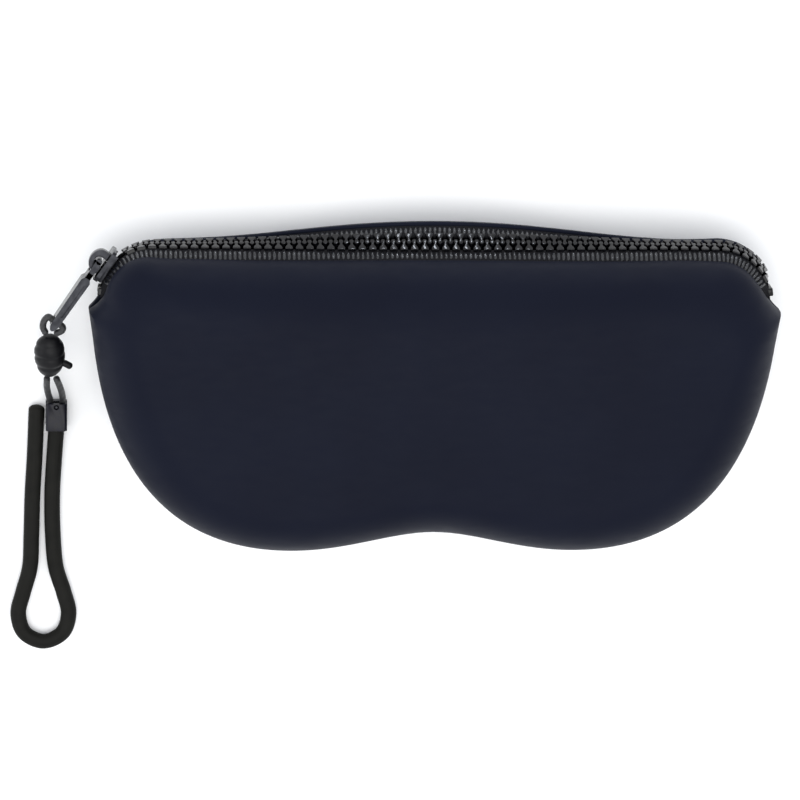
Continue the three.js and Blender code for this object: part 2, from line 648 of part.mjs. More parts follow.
function cuffPin() {
  return post(
    CUFF_PIN_RADIUS, CUFF_CENTRE_X, CUFF_PIN_Y, CUFF_BOTTOM_Z + CUFF_PIN_CLEARANCE, CUFF_TOP_Z - CUFF_PIN_CLEARANCE,
  );
}

// ---- Assembly ----

const FINISHES = {
  silicone: { color: 0x1b1e26, roughness: 0.55, metalness: 0 },
  tape: { color: 0x0b0b0e, roughness: 0.85, metalness: 0 },
  tooth: { color: 0x08080a, roughness: 0.22, metalness: 0 },
  metal: { color: 0x17181c, roughness: 0.25, metalness: 0.9 },
  cord: { color: 0x08080a, roughness: 0.6, metalness: 0 },
  strap: { color: 0x14140f, roughness: 0.6, metalness: 0 },
  cuff: { color: 0x08080b, roughness: 0.2, metalness: 0 },
};

const eyeglassesCase = new THREE.Group();

function addPiece(name, geometry, finish, parent = eyeglassesCase) {
  const mesh = new THREE.Mesh(geometry, new THREE.MeshStandardMaterial(FINISHES[finish]));
  mesh.name = name;
  parent.add(mesh);
  return mesh;
}

addPiece('rear_shell', pouchHalf(-1, 0, 0), 'silicone');
addPiece('front_shell', pouchHalf(1, FRONT_Z, FRONT_CROWN), 'silicone');
addPiece('rear_tape', zipTape(-1), 'tape');
addPiece('front_tape', zipTape(1), 'tape');
addPiece('rear_teeth', toothRow(-1), 'tooth');
addPiece('front_teeth', toothRow(1), 'tooth');
addPiece('top_stop_rear', stopBlock(LEFT_STOP_START - CLEARANCE, -BEAD_OUTER, -TOOTH_REACH), 'tooth');
addPiece('top_stop_front', stopBlock(LEFT_STOP_START - CLEARANCE, TOOTH_REACH, BEAD_OUTER), 'tooth');
addPiece('bottom_stop', stopBlock(RIGHT_STOP_START, -BEAD_OUTER, BEAD_OUTER), 'tooth');

const sliderGroup = new THREE.Group();
sliderGroup.position.copy(sliderCentre);
sliderGroup.rotation.z = SLIDER_TURN;
eyeglassesCase.add(sliderGroup);
addPiece('slider_body', sliderBody(), 'metal', sliderGroup);

const pullerGroup = new THREE.Group();
pullerGroup.position.copy(pivot);
pullerGroup.rotation.z = PULLER_HEADING;
eyeglassesCase.add(pullerGroup);
addPiece('puller', puller(), 'metal', pullerGroup);

const eyePoints = EYE_ROUTE.map((offset) => new THREE.Vector3(...offset).add(cordHole));
addPiece('cord_eye', tube(eyePoints, CORD_RADIUS, CORD_RADIUS, 8, 30), 'cord');
addPiece('cord_knot', knot(), 'cord').position.copy(KNOT_CENTRE);
const loopPoints = LOOP_ROUTE.map((point) => new THREE.Vector3(...point));
addPiece('cord_loop', tube(loopPoints, CORD_RADIUS, CORD_RADIUS, 8, 36), 'cord');
addPiece('strap_cuff', cuff(), 'cuff');
addPiece('cuff_pin', cuffPin(), 'metal');
const strapPoints = STRAP_ROUTE.map(([x, y]) => new THREE.Vector3(x, y, STRAP_Z));
addPiece('strap', tube(strapPoints, STRAP_HALF_HEIGHT, STRAP_HALF_WIDTH, 10, 60), 'strap');

export default eyeglassesCase;
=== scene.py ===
"""A zipped glasses case: the finished surfaces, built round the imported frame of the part.

Everything is in metres and in the frame of the part: X across the case, +Y towards the zip,
+Z out of the front face. The case lies on its rear face on a pale floor.
"""

import json
import logging
import math
from dataclasses import dataclass, field
from enum import Enum

import bmesh
import bpy
from mathutils import Matrix, Vector

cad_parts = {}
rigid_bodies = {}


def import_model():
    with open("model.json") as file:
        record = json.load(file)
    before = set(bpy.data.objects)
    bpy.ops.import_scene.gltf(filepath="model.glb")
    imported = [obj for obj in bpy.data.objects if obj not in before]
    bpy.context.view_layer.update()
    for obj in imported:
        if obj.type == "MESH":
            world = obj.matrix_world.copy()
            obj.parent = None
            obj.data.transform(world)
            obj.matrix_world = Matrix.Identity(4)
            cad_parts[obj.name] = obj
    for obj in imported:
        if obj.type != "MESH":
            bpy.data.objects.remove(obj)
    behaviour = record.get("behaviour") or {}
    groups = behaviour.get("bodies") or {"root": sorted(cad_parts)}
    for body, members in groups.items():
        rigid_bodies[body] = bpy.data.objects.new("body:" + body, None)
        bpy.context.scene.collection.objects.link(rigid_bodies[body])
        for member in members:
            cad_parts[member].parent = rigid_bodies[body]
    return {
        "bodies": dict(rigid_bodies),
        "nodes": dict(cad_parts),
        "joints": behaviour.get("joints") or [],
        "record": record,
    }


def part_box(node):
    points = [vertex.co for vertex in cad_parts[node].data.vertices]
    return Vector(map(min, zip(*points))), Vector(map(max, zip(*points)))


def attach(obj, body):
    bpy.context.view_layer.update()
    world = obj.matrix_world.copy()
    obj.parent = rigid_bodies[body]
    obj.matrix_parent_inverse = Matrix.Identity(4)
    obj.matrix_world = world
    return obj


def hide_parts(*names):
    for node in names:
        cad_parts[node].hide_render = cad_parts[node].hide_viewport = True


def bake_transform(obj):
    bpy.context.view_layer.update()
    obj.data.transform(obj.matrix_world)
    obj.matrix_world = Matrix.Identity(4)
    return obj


log = logging.getLogger("glasses_case")

MM = 0.001

Point = tuple[float, float, float]
Face = tuple[int, ...]


# ---------------------------------------------------------------- small tools


def smoothstep(value: float) -> float:
    """Gives a soft step from 0 to 1 for a value from 0 to 1, held at both ends."""
    held = min(1.0, max(0.0, value))
    return held * held * (3 - 2 * held)


def swell(place: float) -> float:
    """Gives a soft swelling that is 1 at 0 and has died away at 1 and beyond, on both sides."""
    return 0.5 + 0.5 * math.cos(math.pi * min(1.0, abs(place)))


def joint_named(frame: dict, name: str) -> dict:
    """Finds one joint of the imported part.

    Args:
        name: The joint's name.

    Returns:
        The joint's entry in the record.
    """
    return next(joint for joint in frame["joints"] if joint["name"] == name)


def make_object(name: str, vertices: list[Point], faces: list[Face], smooth_angle: float = 35) -> bpy.types.Object:
    """Makes a mesh object whose soft edges are shaded smooth and whose corners stay crisp.

    Args:
        name: The object's name.
        vertices: Corner positions.
        faces: Corner indices of each face.
        smooth_angle: Edges that turn more than this many degrees stay sharp.

    Returns:
        The linked object.
    """
    mesh = bpy.data.meshes.new(name)
    mesh.from_pydata(vertices, [], faces)
    mesh.validate()
    edit = bmesh.new()
    edit.from_mesh(mesh)
    bmesh.ops.recalc_face_normals(edit, faces=edit.faces)
    edit.to_mesh(mesh)
    edit.free()
    thing = bpy.data.objects.new(name, mesh)
    bpy.context.scene.collection.objects.link(thing)
    shade(thing, smooth_angle)
    return thing


def shade(thing: bpy.types.Object, smooth_angle: float) -> None:
    """Shades an object smooth apart from its sharp corners."""
    thing.data.shade_smooth()
    thing.data.set_sharp_from_angle(angle=math.radians(smooth_angle))


def loft(rings: list[list[Point]], closed: bool = False, caps: bool = True) -> tuple[list[Point], list[Face]]:
    """Joins rings of equal length into a skin.

    Args:
        rings: Rings of points, each going round once.
        closed: Whether the last ring joins the first again.
        caps: Whether the two end rings are filled.

    Returns:
        The vertices and faces.
    """
    count = len(rings[0])
    vertices = [point for ring in rings for point in ring]
    faces: list[Face] = []
    spans = len(rings) if closed else len(rings) - 1
    for i in range(spans):
        upper = (i + 1) % len(rings)
        for j in range(count):
            following = (j + 1) % count
            faces.append((i * count + j, i * count + following, upper * count + following, upper * count + j))
    if caps and not closed:
        faces.append(tuple(reversed(range(count))))
        faces.append(tuple(range((len(rings) - 1) * count, len(rings) * count)))
    return vertices, faces


def merge_parts(parts: list[tuple[list[Point], list[Face]]]) -> tuple[list[Point], list[Face]]:
    """Puts several closed skins into one list of vertices and faces."""
    vertices: list[Point] = []
    faces: list[Face] = []
    for part_vertices, part_faces in parts:
        start = len(vertices)
        vertices.extend(part_vertices)
        faces.extend(tuple(index + start for index in face) for face in part_faces)
    return vertices, faces


def apply_modifiers(thing: bpy.types.Object) -> None:
    """Writes an object's modifiers into its mesh."""
    graph = bpy.context.evaluated_depsgraph_get()
    mesh = bpy.data.meshes.new_from_object(thing.evaluated_get(graph))
    thing.modifiers.clear()
    thing.data = mesh


def soften_edges(thing: bpy.types.Object, width: float, segments: int = 3, angle: float = 28) -> None:
    """Rounds an object's corners over.

    Args:
        thing: The object.
        width: How far each rounding reaches from its corner.
        segments: Steps in each rounding.
        angle: Corners that turn more than this many degrees are rounded.
    """
    bevel = thing.modifiers.new("rounding", "BEVEL")
    bevel.width = width
    bevel.segments = segments
    bevel.limit_method = "ANGLE"
    bevel.angle_limit = math.radians(angle)
    bevel.use_clamp_overlap = True
    bevel.harden_normals = False
    bpy.context.view_layer.update()
    apply_modifiers(thing)
    shade(thing, 40)


def combine(target: bpy.types.Object, tools: list[bpy.types.Object], operation: str) -> None:
    """Adds or cuts solids, and removes the tools.

    Args:
        target: The solid that is changed.
        tools: The solids added to it or cut from it.
        operation: "UNION" or "DIFFERENCE".
    """
    for tool in tools:
        change = target.modifiers.new("combine", "BOOLEAN")
        change.operation = operation
        change.solver = "EXACT"
        change.object = tool
        bpy.context.view_layer.update()
        apply_modifiers(target)
    for tool in tools:
        bpy.data.objects.remove(tool)


def resample(points: list[Vector], count: int) -> list[Vector]:
    """Spreads points evenly along a line through the given ones.

    Args:
        points: The line's corners.
        count: How many points are wanted, both ends included.

    Returns:
        The evenly spaced points.
    """
    reach = [0.0]
    for here, there in zip(points, points[1:]):
        reach.append(reach[-1] + (there - here).length)
    spread: list[Vector] = []
    place = 0
    for i in range(count):
        wanted = reach[-1] * i / (count - 1)
        while place < len(points) - 2 and reach[place + 1] < wanted:
            place += 1
        span = max(reach[place + 1] - reach[place], 1e-12)
        spread.append(points[place].lerp(points[place + 1], (wanted - reach[place]) / span))
    return spread


def smooth_route(knots: list[Vector], count: int) -> list[Vector]:
    """Draws a centripetal Catmull-Rom curve through knots.

    Args:
        knots: The points that it passes through.
        count: How many evenly spaced points are wanted.

    Returns:
        Points along the curve.
    """
    ends = [2 * knots[0] - knots[1], *knots, 2 * knots[-1] - knots[-2]]
    fine: list[Vector] = []
    for p0, p1, p2, p3 in zip(ends, ends[1:], ends[2:], ends[3:]):
        t1 = math.sqrt((p1 - p0).length)
        t2 = t1 + math.sqrt((p2 - p1).length)
        t3 = t2 + math.sqrt((p3 - p2).length)
        for step in range(24):
            t = t1 + (t2 - t1) * step / 24
            a1 = p0.lerp(p1, t / t1)
            a2 = p1.lerp(p2, (t - t1) / (t2 - t1))
            a3 = p2.lerp(p3, (t - t2) / (t3 - t2))
            b1 = a1.lerp(a2, t / t2)
            b2 = a2.lerp(a3, (t - t1) / (t3 - t1))
            fine.append(b1.lerp(b2, (t - t1) / (t2 - t1)))
    fine.append(knots[-1].copy())
    return resample(fine, count)


def route_length(points: list[Vector]) -> float:
    """Gives the length of a line through points."""
    return sum((there - here).length for here, there in zip(points, points[1:]))


@dataclass(frozen=True)
class Section:
    """An oval section that is swept along a route.

    Attributes:
        half_width: Half its size in the plane of the route.
        half_height: Half its size across that plane.
        sides: Points round it.
        ribs: How many fine ribs run along it.
        rib_depth: How deep the grooves between the ribs are.
    """

    half_width: float
    half_height: float
    sides: int = 24
    ribs: int = 0
    rib_depth: float = 0.0

    def ring(self, centre: Vector, along: Vector, up: Vector, scale: float) -> list[Point]:
        """Gives the section's points at one place on the route."""
        side = along.cross(up).normalized()
        rise = side.cross(along).normalized()
        points = []
        for i in range(self.sides):
            turn = 2 * math.pi * i / self.sides
            rib = 1 - self.rib_depth / self.half_height * (0.5 - 0.5 * math.cos(self.ribs * turn))
            offset = side * (self.half_width * math.cos(turn)) + rise * (self.half_height * math.sin(turn))
            points.append(tuple(centre + offset * (scale * rib)))
        return points

    def sweep(self, route: list[Vector], up: Vector, round_ends: bool = True) -> tuple[list[Point], list[Face]]:
        """Sweeps the section along a route.

        Args:
            route: Evenly spaced centre points.
            up: The direction across the route's plane.
            round_ends: Whether the ends are domed rather than cut square.

        Returns:
            Vertices and faces of a closed skin.
        """
        steps: list[tuple[Vector, Vector, float]] = []
        last = len(route) - 1
        for i, centre in enumerate(route):
            along = (route[min(i + 1, last)] - route[max(i - 1, 0)]).normalized()
            steps.append((centre, along, 1.0))
        if round_ends:
            dome = [math.radians(angle) for angle in (75, 55, 35, 18)]
            reach = 0.8 * self.half_height
            first_centre, first_along, _ = steps[0]
            last_centre, last_along, _ = steps[-1]
            start = [(first_centre - first_along * (reach * math.sin(a)), first_along, math.cos(a)) for a in dome]
            finish = [(last_centre + last_along * (reach * math.sin(a)), last_along, math.cos(a)) for a in dome]
            steps = [*start, *steps, *reversed(finish)]
        return loft([self.ring(centre, along, up, scale) for centre, along, scale in steps])


# ---------------------------------------------------------------- finishes


class Grain(Enum):
    """The kind of fine surface that a finish has."""

    MOULDED = "moulded silicone"
    WOVEN = "woven tape"
    POLISHED = "polished plastic"
    PLATED = "plated metal"
    BRAIDED = "braided cord"
    RUBBER = "extruded rubber"
    PALE_BOARD = "studio board"


@dataclass(frozen=True)
class Finish:
    """One surface finish.

    Attributes:
        name: The material's name.
        grain: Its kind of fine surface.
        colour: Its base colour, linear.
        accent: The colour that it varies towards.
        roughness: Lowest and highest roughness.
        metallic: 1 for bare metal.
        specular: Strength of the plain reflection.
        coat: Strength of a clear glossy layer.
        sheen: Strength of the soft edge glow of fibres or dust.
    """

    name: str
    grain: Grain
    colour: Point
    accent: Point
    roughness: tuple[float, float]
    metallic: float = 0.0
    specular: float = 0.5
    coat: float = 0.0
    sheen: float = 0.0

    def material(self) -> bpy.types.Material:
        """Builds the node material, once for each finish."""
        ready = bpy.data.materials.get(self.name)
        if ready:
            return ready
        made = bpy.data.materials.new(self.name)
        made.use_nodes = True
        tree = made.node_tree
        shader = tree.nodes["Principled BSDF"]
        shader.inputs["Metallic"].default_value = self.metallic
        shader.inputs["Specular IOR Level"].default_value = self.specular
        shader.inputs["Coat Weight"].default_value = self.coat
        shader.inputs["Coat Roughness"].default_value = 0.08
        shader.inputs["Sheen Weight"].default_value = self.sheen
        shader.inputs["Sheen Roughness"].default_value = 0.45
        coords = tree.nodes.new("ShaderNodeTexCoord").outputs["Object"]
        builder = {
            Grain.MOULDED: self._moulded,
            Grain.WOVEN: self._woven,
            Grain.POLISHED: self._polished,
            Grain.PLATED: self._plated,
            Grain.BRAIDED: self._braided,
            Grain.RUBBER: self._rubber,
            Grain.PALE_BOARD: self._board,
        }[self.grain]
        builder(tree, shader, coords)
        return made

    def dress(self, thing: bpy.types.Object) -> None:
        """Puts the finish on an object in place of what it had."""
        thing.data.materials.clear()
        thing.data.materials.append(self.material())

    def _noise(self, tree, coords, scale: float, detail: float = 4.0, squash: Point = (1, 1, 1)):
        """Adds a noise pattern and returns its grey value."""
        placed = coords
        if squash != (1, 1, 1):
            mapping = tree.nodes.new("ShaderNodeMapping")
            mapping.inputs["Scale"].default_value = squash
            tree.links.new(coords, mapping.inputs["Vector"])
            placed = mapping.outputs["Vector"]
        noise = tree.nodes.new("ShaderNodeTexNoise")
        noise.inputs["Scale"].default_value = scale
        noise.inputs["Detail"].default_value = detail
        tree.links.new(placed, noise.inputs["Vector"])
        return noise.outputs["Fac"]

    def _wave(self, tree, coords, scale: float, turn: Point = (0, 0, 0), distortion: float = 0.0):
        """Adds a band pattern and returns its grey value."""
        mapping = tree.nodes.new("ShaderNodeMapping")
        mapping.inputs["Rotation"].default_value = turn
        tree.links.new(coords, mapping.inputs["Vector"])
        wave = tree.nodes.new("ShaderNodeTexWave")
        wave.inputs["Scale"].default_value = scale
        wave.inputs["Distortion"].default_value = distortion
        wave.inputs["Detail"].default_value = 2
        tree.links.new(mapping.outputs["Vector"], wave.inputs["Vector"])
        return wave.outputs["Fac"]

    def _span(self, tree, value, low: float, high: float, start: float = 0.3, end: float = 0.7):
        """Spreads a grey value between two numbers."""
        spread = tree.nodes.new("ShaderNodeMapRange")
        spread.inputs["From Min"].default_value = start
        spread.inputs["From Max"].default_value = end
        spread.inputs["To Min"].default_value = low
        spread.inputs["To Max"].default_value = high
        tree.links.new(value, spread.inputs["Value"])
        return spread.outputs["Result"]

    def _colours(self, tree, shader, value, start: float = 0.35, end: float = 0.65) -> None:
        """Varies the base colour between the finish's two colours."""
        ramp = tree.nodes.new("ShaderNodeValToRGB")
        ramp.color_ramp.elements[0].position = start
        ramp.color_ramp.elements[0].color = (*self.colour, 1)
        ramp.color_ramp.elements[1].position = end
        ramp.color_ramp.elements[1].color = (*self.accent, 1)
        tree.links.new(value, ramp.inputs["Fac"])
        tree.links.new(ramp.outputs["Color"], shader.inputs["Base Color"])

    def _rough(self, tree, shader, value) -> None:
        """Varies the roughness between the finish's two values."""
        low, high = self.roughness
        tree.links.new(self._span(tree, value, low, high), shader.inputs["Roughness"])

    def _bumps(self, tree, shader, layers: list[tuple]) -> None:
        """Stacks bump layers, each a grey value, a strength and a height in metres."""
        previous = None
        for value, strength, distance in layers:
            bump = tree.nodes.new("ShaderNodeBump")
            bump.inputs["Strength"].default_value = strength
            bump.inputs["Distance"].default_value = distance
            tree.links.new(value, bump.inputs["Height"])
            if previous is not None:
                tree.links.new(previous, bump.inputs["Normal"])
            previous = bump.outputs["Normal"]
        tree.links.new(previous, shader.inputs["Normal"])

    def _moulded(self, tree, shader, coords) -> None:
        """Silicone: faint clouding, a satin grain and shallow handling marks."""
        cloud = self._noise(tree, coords, 28, 3)
        grain = self._noise(tree, coords, 5200, 2)
        ripple = self._noise(tree, coords, 60, 2)
        handled = self._noise(tree, coords, 160, 6, (1, 3, 1))
        self._colours(tree, shader, cloud)
        self._rough(tree, shader, handled)
        self._bumps(tree, shader, [(ripple, 0.05, 0.0002), (grain, 0.3, 0.00002)])

    def _woven(self, tree, shader, coords) -> None:
        """Tape: crossing threads, with fuzz between them."""
        warp = self._wave(tree, coords, 520, (0, 0, 0.6), 0.6)
        weft = self._wave(tree, coords, 520, (0.4, 0, -0.9), 0.6)
        fuzz = self._noise(tree, coords, 3200, 3)
        self._colours(tree, shader, fuzz)
        self._rough(tree, shader, fuzz)
        self._bumps(tree, shader, [(warp, 0.5, 0.00006), (weft, 0.5, 0.00006), (fuzz, 0.4, 0.00003)])

    def _polished(self, tree, shader, coords) -> None:
        """Moulded plastic: glossy, with small swirls and haze."""
        haze = self._noise(tree, coords, 900, 5)
        swirl = self._noise(tree, coords, 260, 2)
        self._colours(tree, shader, haze)
        self._rough(tree, shader, haze)
        self._bumps(tree, shader, [(swirl, 0.2, 0.00005)])

    def _plated(self, tree, shader, coords) -> None:
        """Plated zinc: soft tumbling marks and fine scratches."""
        tumble = self._noise(tree, coords, 700, 5)
        scratch = self._noise(tree, coords, 2600, 3, (1, 0.08, 1))
        self._colours(tree, shader, tumble)
        self._rough(tree, shader, tumble)
        self._bumps(tree, shader, [(tumble, 0.15, 0.00004), (scratch, 0.12, 0.00002)])

    def _braided(self, tree, shader, coords) -> None:
        """Braid: two sets of slanting strands that cross."""
        left = self._wave(tree, coords, 330, (0, 0.3, 0.75), 0.3)
        right = self._wave(tree, coords, 330, (0, -0.3, -0.75), 0.3)
        fuzz = self._noise(tree, coords, 2600, 3)
        self._colours(tree, shader, fuzz)
        self._rough(tree, shader, fuzz)
        self._bumps(tree, shader, [(left, 0.55, 0.00012), (right, 0.55, 0.00012), (fuzz, 0.3, 0.00004)])

    def _rubber(self, tree, shader, coords) -> None:
        """Rubber cord: dusty film and draw lines along it."""
        film = self._noise(tree, coords, 240, 5)
        lines = self._noise(tree, coords, 1500, 3, (1, 0.06, 1))
        self._colours(tree, shader, film)
        self._rough(tree, shader, film)
        self._bumps(tree, shader, [(lines, 0.3, 0.00006), (film, 0.2, 0.00005)])

    def _board(self, tree, shader, coords) -> None:
        """Studio board: almost even, with a soft mottling."""
        mottle = self._noise(tree, coords, 6, 3)
        self._colours(tree, shader, mottle)
        self._rough(tree, shader, mottle)


@dataclass(frozen=True)
class Palette:
    """Every finish on the case."""

    silicone: Finish = Finish(
        "matte_silicone", Grain.MOULDED, (0.0038, 0.005, 0.0122), (0.0046, 0.0061, 0.0142), (0.5, 0.58), specular=0.07,
    )
    tape: Finish = Finish(
        "zip_tape_weave", Grain.WOVEN, (0.003, 0.003, 0.004), (0.009, 0.009, 0.011), (0.7, 0.85), specular=0.15,
    )
    thread: Finish = Finish(
        "shiny_cross_thread", Grain.BRAIDED, (0.005, 0.0055, 0.008), (0.009, 0.01, 0.014), (0.24, 0.34), coat=0.3,
    )
    teeth: Finish = Finish(
        "glossy_teeth", Grain.POLISHED, (0.002, 0.002, 0.003), (0.004, 0.004, 0.005), (0.12, 0.22), specular=0.2, coat=0.1,
    )
    metal: Finish = Finish(
        "dark_plated_metal", Grain.PLATED, (0.016, 0.0165, 0.019), (0.03, 0.031, 0.035), (0.18, 0.28), metallic=1.0,
    )
    cord: Finish = Finish(
        "thin_braided_cord", Grain.BRAIDED, (0.006, 0.006, 0.007), (0.02, 0.02, 0.022), (0.45, 0.62), sheen=0.05,
    )
    knot: Finish = Finish(
        "drawn_tight_cord", Grain.RUBBER, (0.003, 0.003, 0.004), (0.006, 0.006, 0.007), (0.34, 0.46), specular=0.15,
    )
    cuff: Finish = Finish(
        "glossy_cuff", Grain.POLISHED, (0.003, 0.003, 0.006), (0.005, 0.005, 0.011), (0.26, 0.34), specular=0.2,
    )
    strap: Finish = Finish(
        "rubber_strap", Grain.RUBBER, (0.005, 0.005, 0.004), (0.009, 0.0088, 0.0075), (0.5, 0.64), specular=0.1,
    )
    floor: Finish = Finish(
        "studio_floor", Grain.PALE_BOARD, (0.97, 0.97, 0.97), (0.98, 0.98, 0.98), (0.75, 0.85), specular=0.2,
    )


# ---------------------------------------------------------------- zip line


@dataclass(frozen=True)
class ZipLine:
    """The line of the chain: a straight top run between two corner arcs and two short drops.

    Attributes:
        top_half: Half the length of the top run.
        corner_y: Height of the corner arcs' centres.
        corner_radius: Radius of the corner arcs.
        seam_z: Height of the seam above the rear face.
        drop: Length of the straight piece below each arc.
        rise: How much the top run bows up in its middle.
        roll_peak: How much further the chain turns forward in the middle of the top run.
        roll_half: Where along the top run that turning starts.
        roll_base: How far the chain leans forward along the rest of the top run.
        roll_corner: How much further it leans in the right corner.
        roll_corner_start: Where that further lean starts.
        slider_tail: Where the slider starts at the left end; the chain stands upright from there.
        roll_fade: Over what length the lean fades out towards each end.
        half_gap: Half the distance between the two lips.
        gap_end: How far from each end the lips have parted fully.
        lip_height: How far the lips stand above the chain in the middle.
        lip_low: How far they stand above it towards the corners.
        lip_half: Where along the top run they have come down.
        seam_half_gap: Half the gap of the closed seam.
    """

    top_half: float
    corner_y: float
    seam_z: float
    corner_radius: float = 13.4 * MM
    drop: float = 3 * MM
    rise: float = 1 * MM
    roll_peak: float = math.radians(31)
    roll_half: float = 75 * MM
    roll_base: float = math.radians(9)
    roll_corner: float = math.radians(9)
    roll_corner_start: float = 60 * MM
    slider_tail: float = 81 * MM
    roll_fade: float = 12 * MM
    half_gap: float = 5.6 * MM
    gap_end: float = 8 * MM
    lip_height: float = 1.0 * MM
    lip_low: float = -0.6 * MM
    lip_half: float = 58 * MM
    seam_half_gap: float = 0.15 * MM

    @property
    def corner_length(self) -> float:
        """Length of one corner arc."""
        return self.corner_radius * math.pi / 2

    @property
    def half_length(self) -> float:
        """Half the length of the whole line."""
        return self.top_half + self.corner_length + self.drop

    def centre(self, s: float) -> tuple[Vector, Vector]:
        """Gives the chain's centre and its outward direction, both in the plane of the seam."""
        side = -1.0 if s < 0 else 1.0
        distance = abs(s)
        if distance <= self.top_half:
            bow = self.rise * (0.5 + 0.5 * math.cos(math.pi * distance / self.top_half))
            return Vector((s, self.corner_y + self.corner_radius + bow)), Vector((0, 1))
        turn = min((distance - self.top_half) / self.corner_radius, math.pi / 2)
        lower = max(0.0, distance - self.top_half - self.corner_length)
        outward = Vector((side * math.sin(turn), math.cos(turn)))
        return Vector((side * self.top_half, self.corner_y - lower)) + outward * self.corner_radius, outward

    def roll(self, s: float) -> float:
        """Gives how far the chain is turned forward at a place along it."""
        middle = self.roll_peak * swell(s / self.roll_half)
        end = self.slider_tail if s < 0 else self.half_length
        lean = self.roll_base
        if s > 0:
            corner_span = self.half_length - self.roll_corner_start - self.roll_fade
            lean += self.roll_corner * smoothstep((s - self.roll_corner_start) / corner_span)
        return middle + lean * smoothstep((end - abs(s)) / self.roll_fade)

    def lip(self, s: float) -> float:
        """Gives how far the lips stand above the chain at a place along it."""
        return self.lip_low + (self.lip_height - self.lip_low) * swell(s / self.lip_half)

    def lips(self, s: float) -> float:
        """Gives half the distance between the lips at a place along the chain."""
        share = min(1.0, max(0.0, (self.half_length - abs(s)) / self.gap_end))
        return self.seam_half_gap + (self.half_gap - self.seam_half_gap) * math.sin(share * math.pi / 2)

    def beside(self, s: float, across: float, above: float) -> Point:
        """Gives the point at a distance across the chain and above it.

        Args:
            s: Place along the chain, from the middle of the top run, positive to the right.
            across: Distance across, positive towards the front face.
            above: Distance outwards.

        Returns:
            The point.
        """
        centre, outward = self.centre(s)
        roll = self.roll(s)
        reach = above * math.cos(roll) - across * math.sin(roll)
        height = self.seam_z + across * math.cos(roll) + above * math.sin(roll)
        return (centre.x + outward.x * reach, centre.y + outward.y * reach, height)


# ---------------------------------------------------------------- pouch


@dataclass
class Station:
    """One place round the outline of the pouch.

    Attributes:
        point: The outermost point, in the plane of the seam.
        outward: The outward direction.
        s: Its place along the zip, or None on the closed seam.
        height: How far the lip stands above the chain there.
    """

    point: Vector
    outward: Vector
    s: float | None = None
    height: float = 0.0


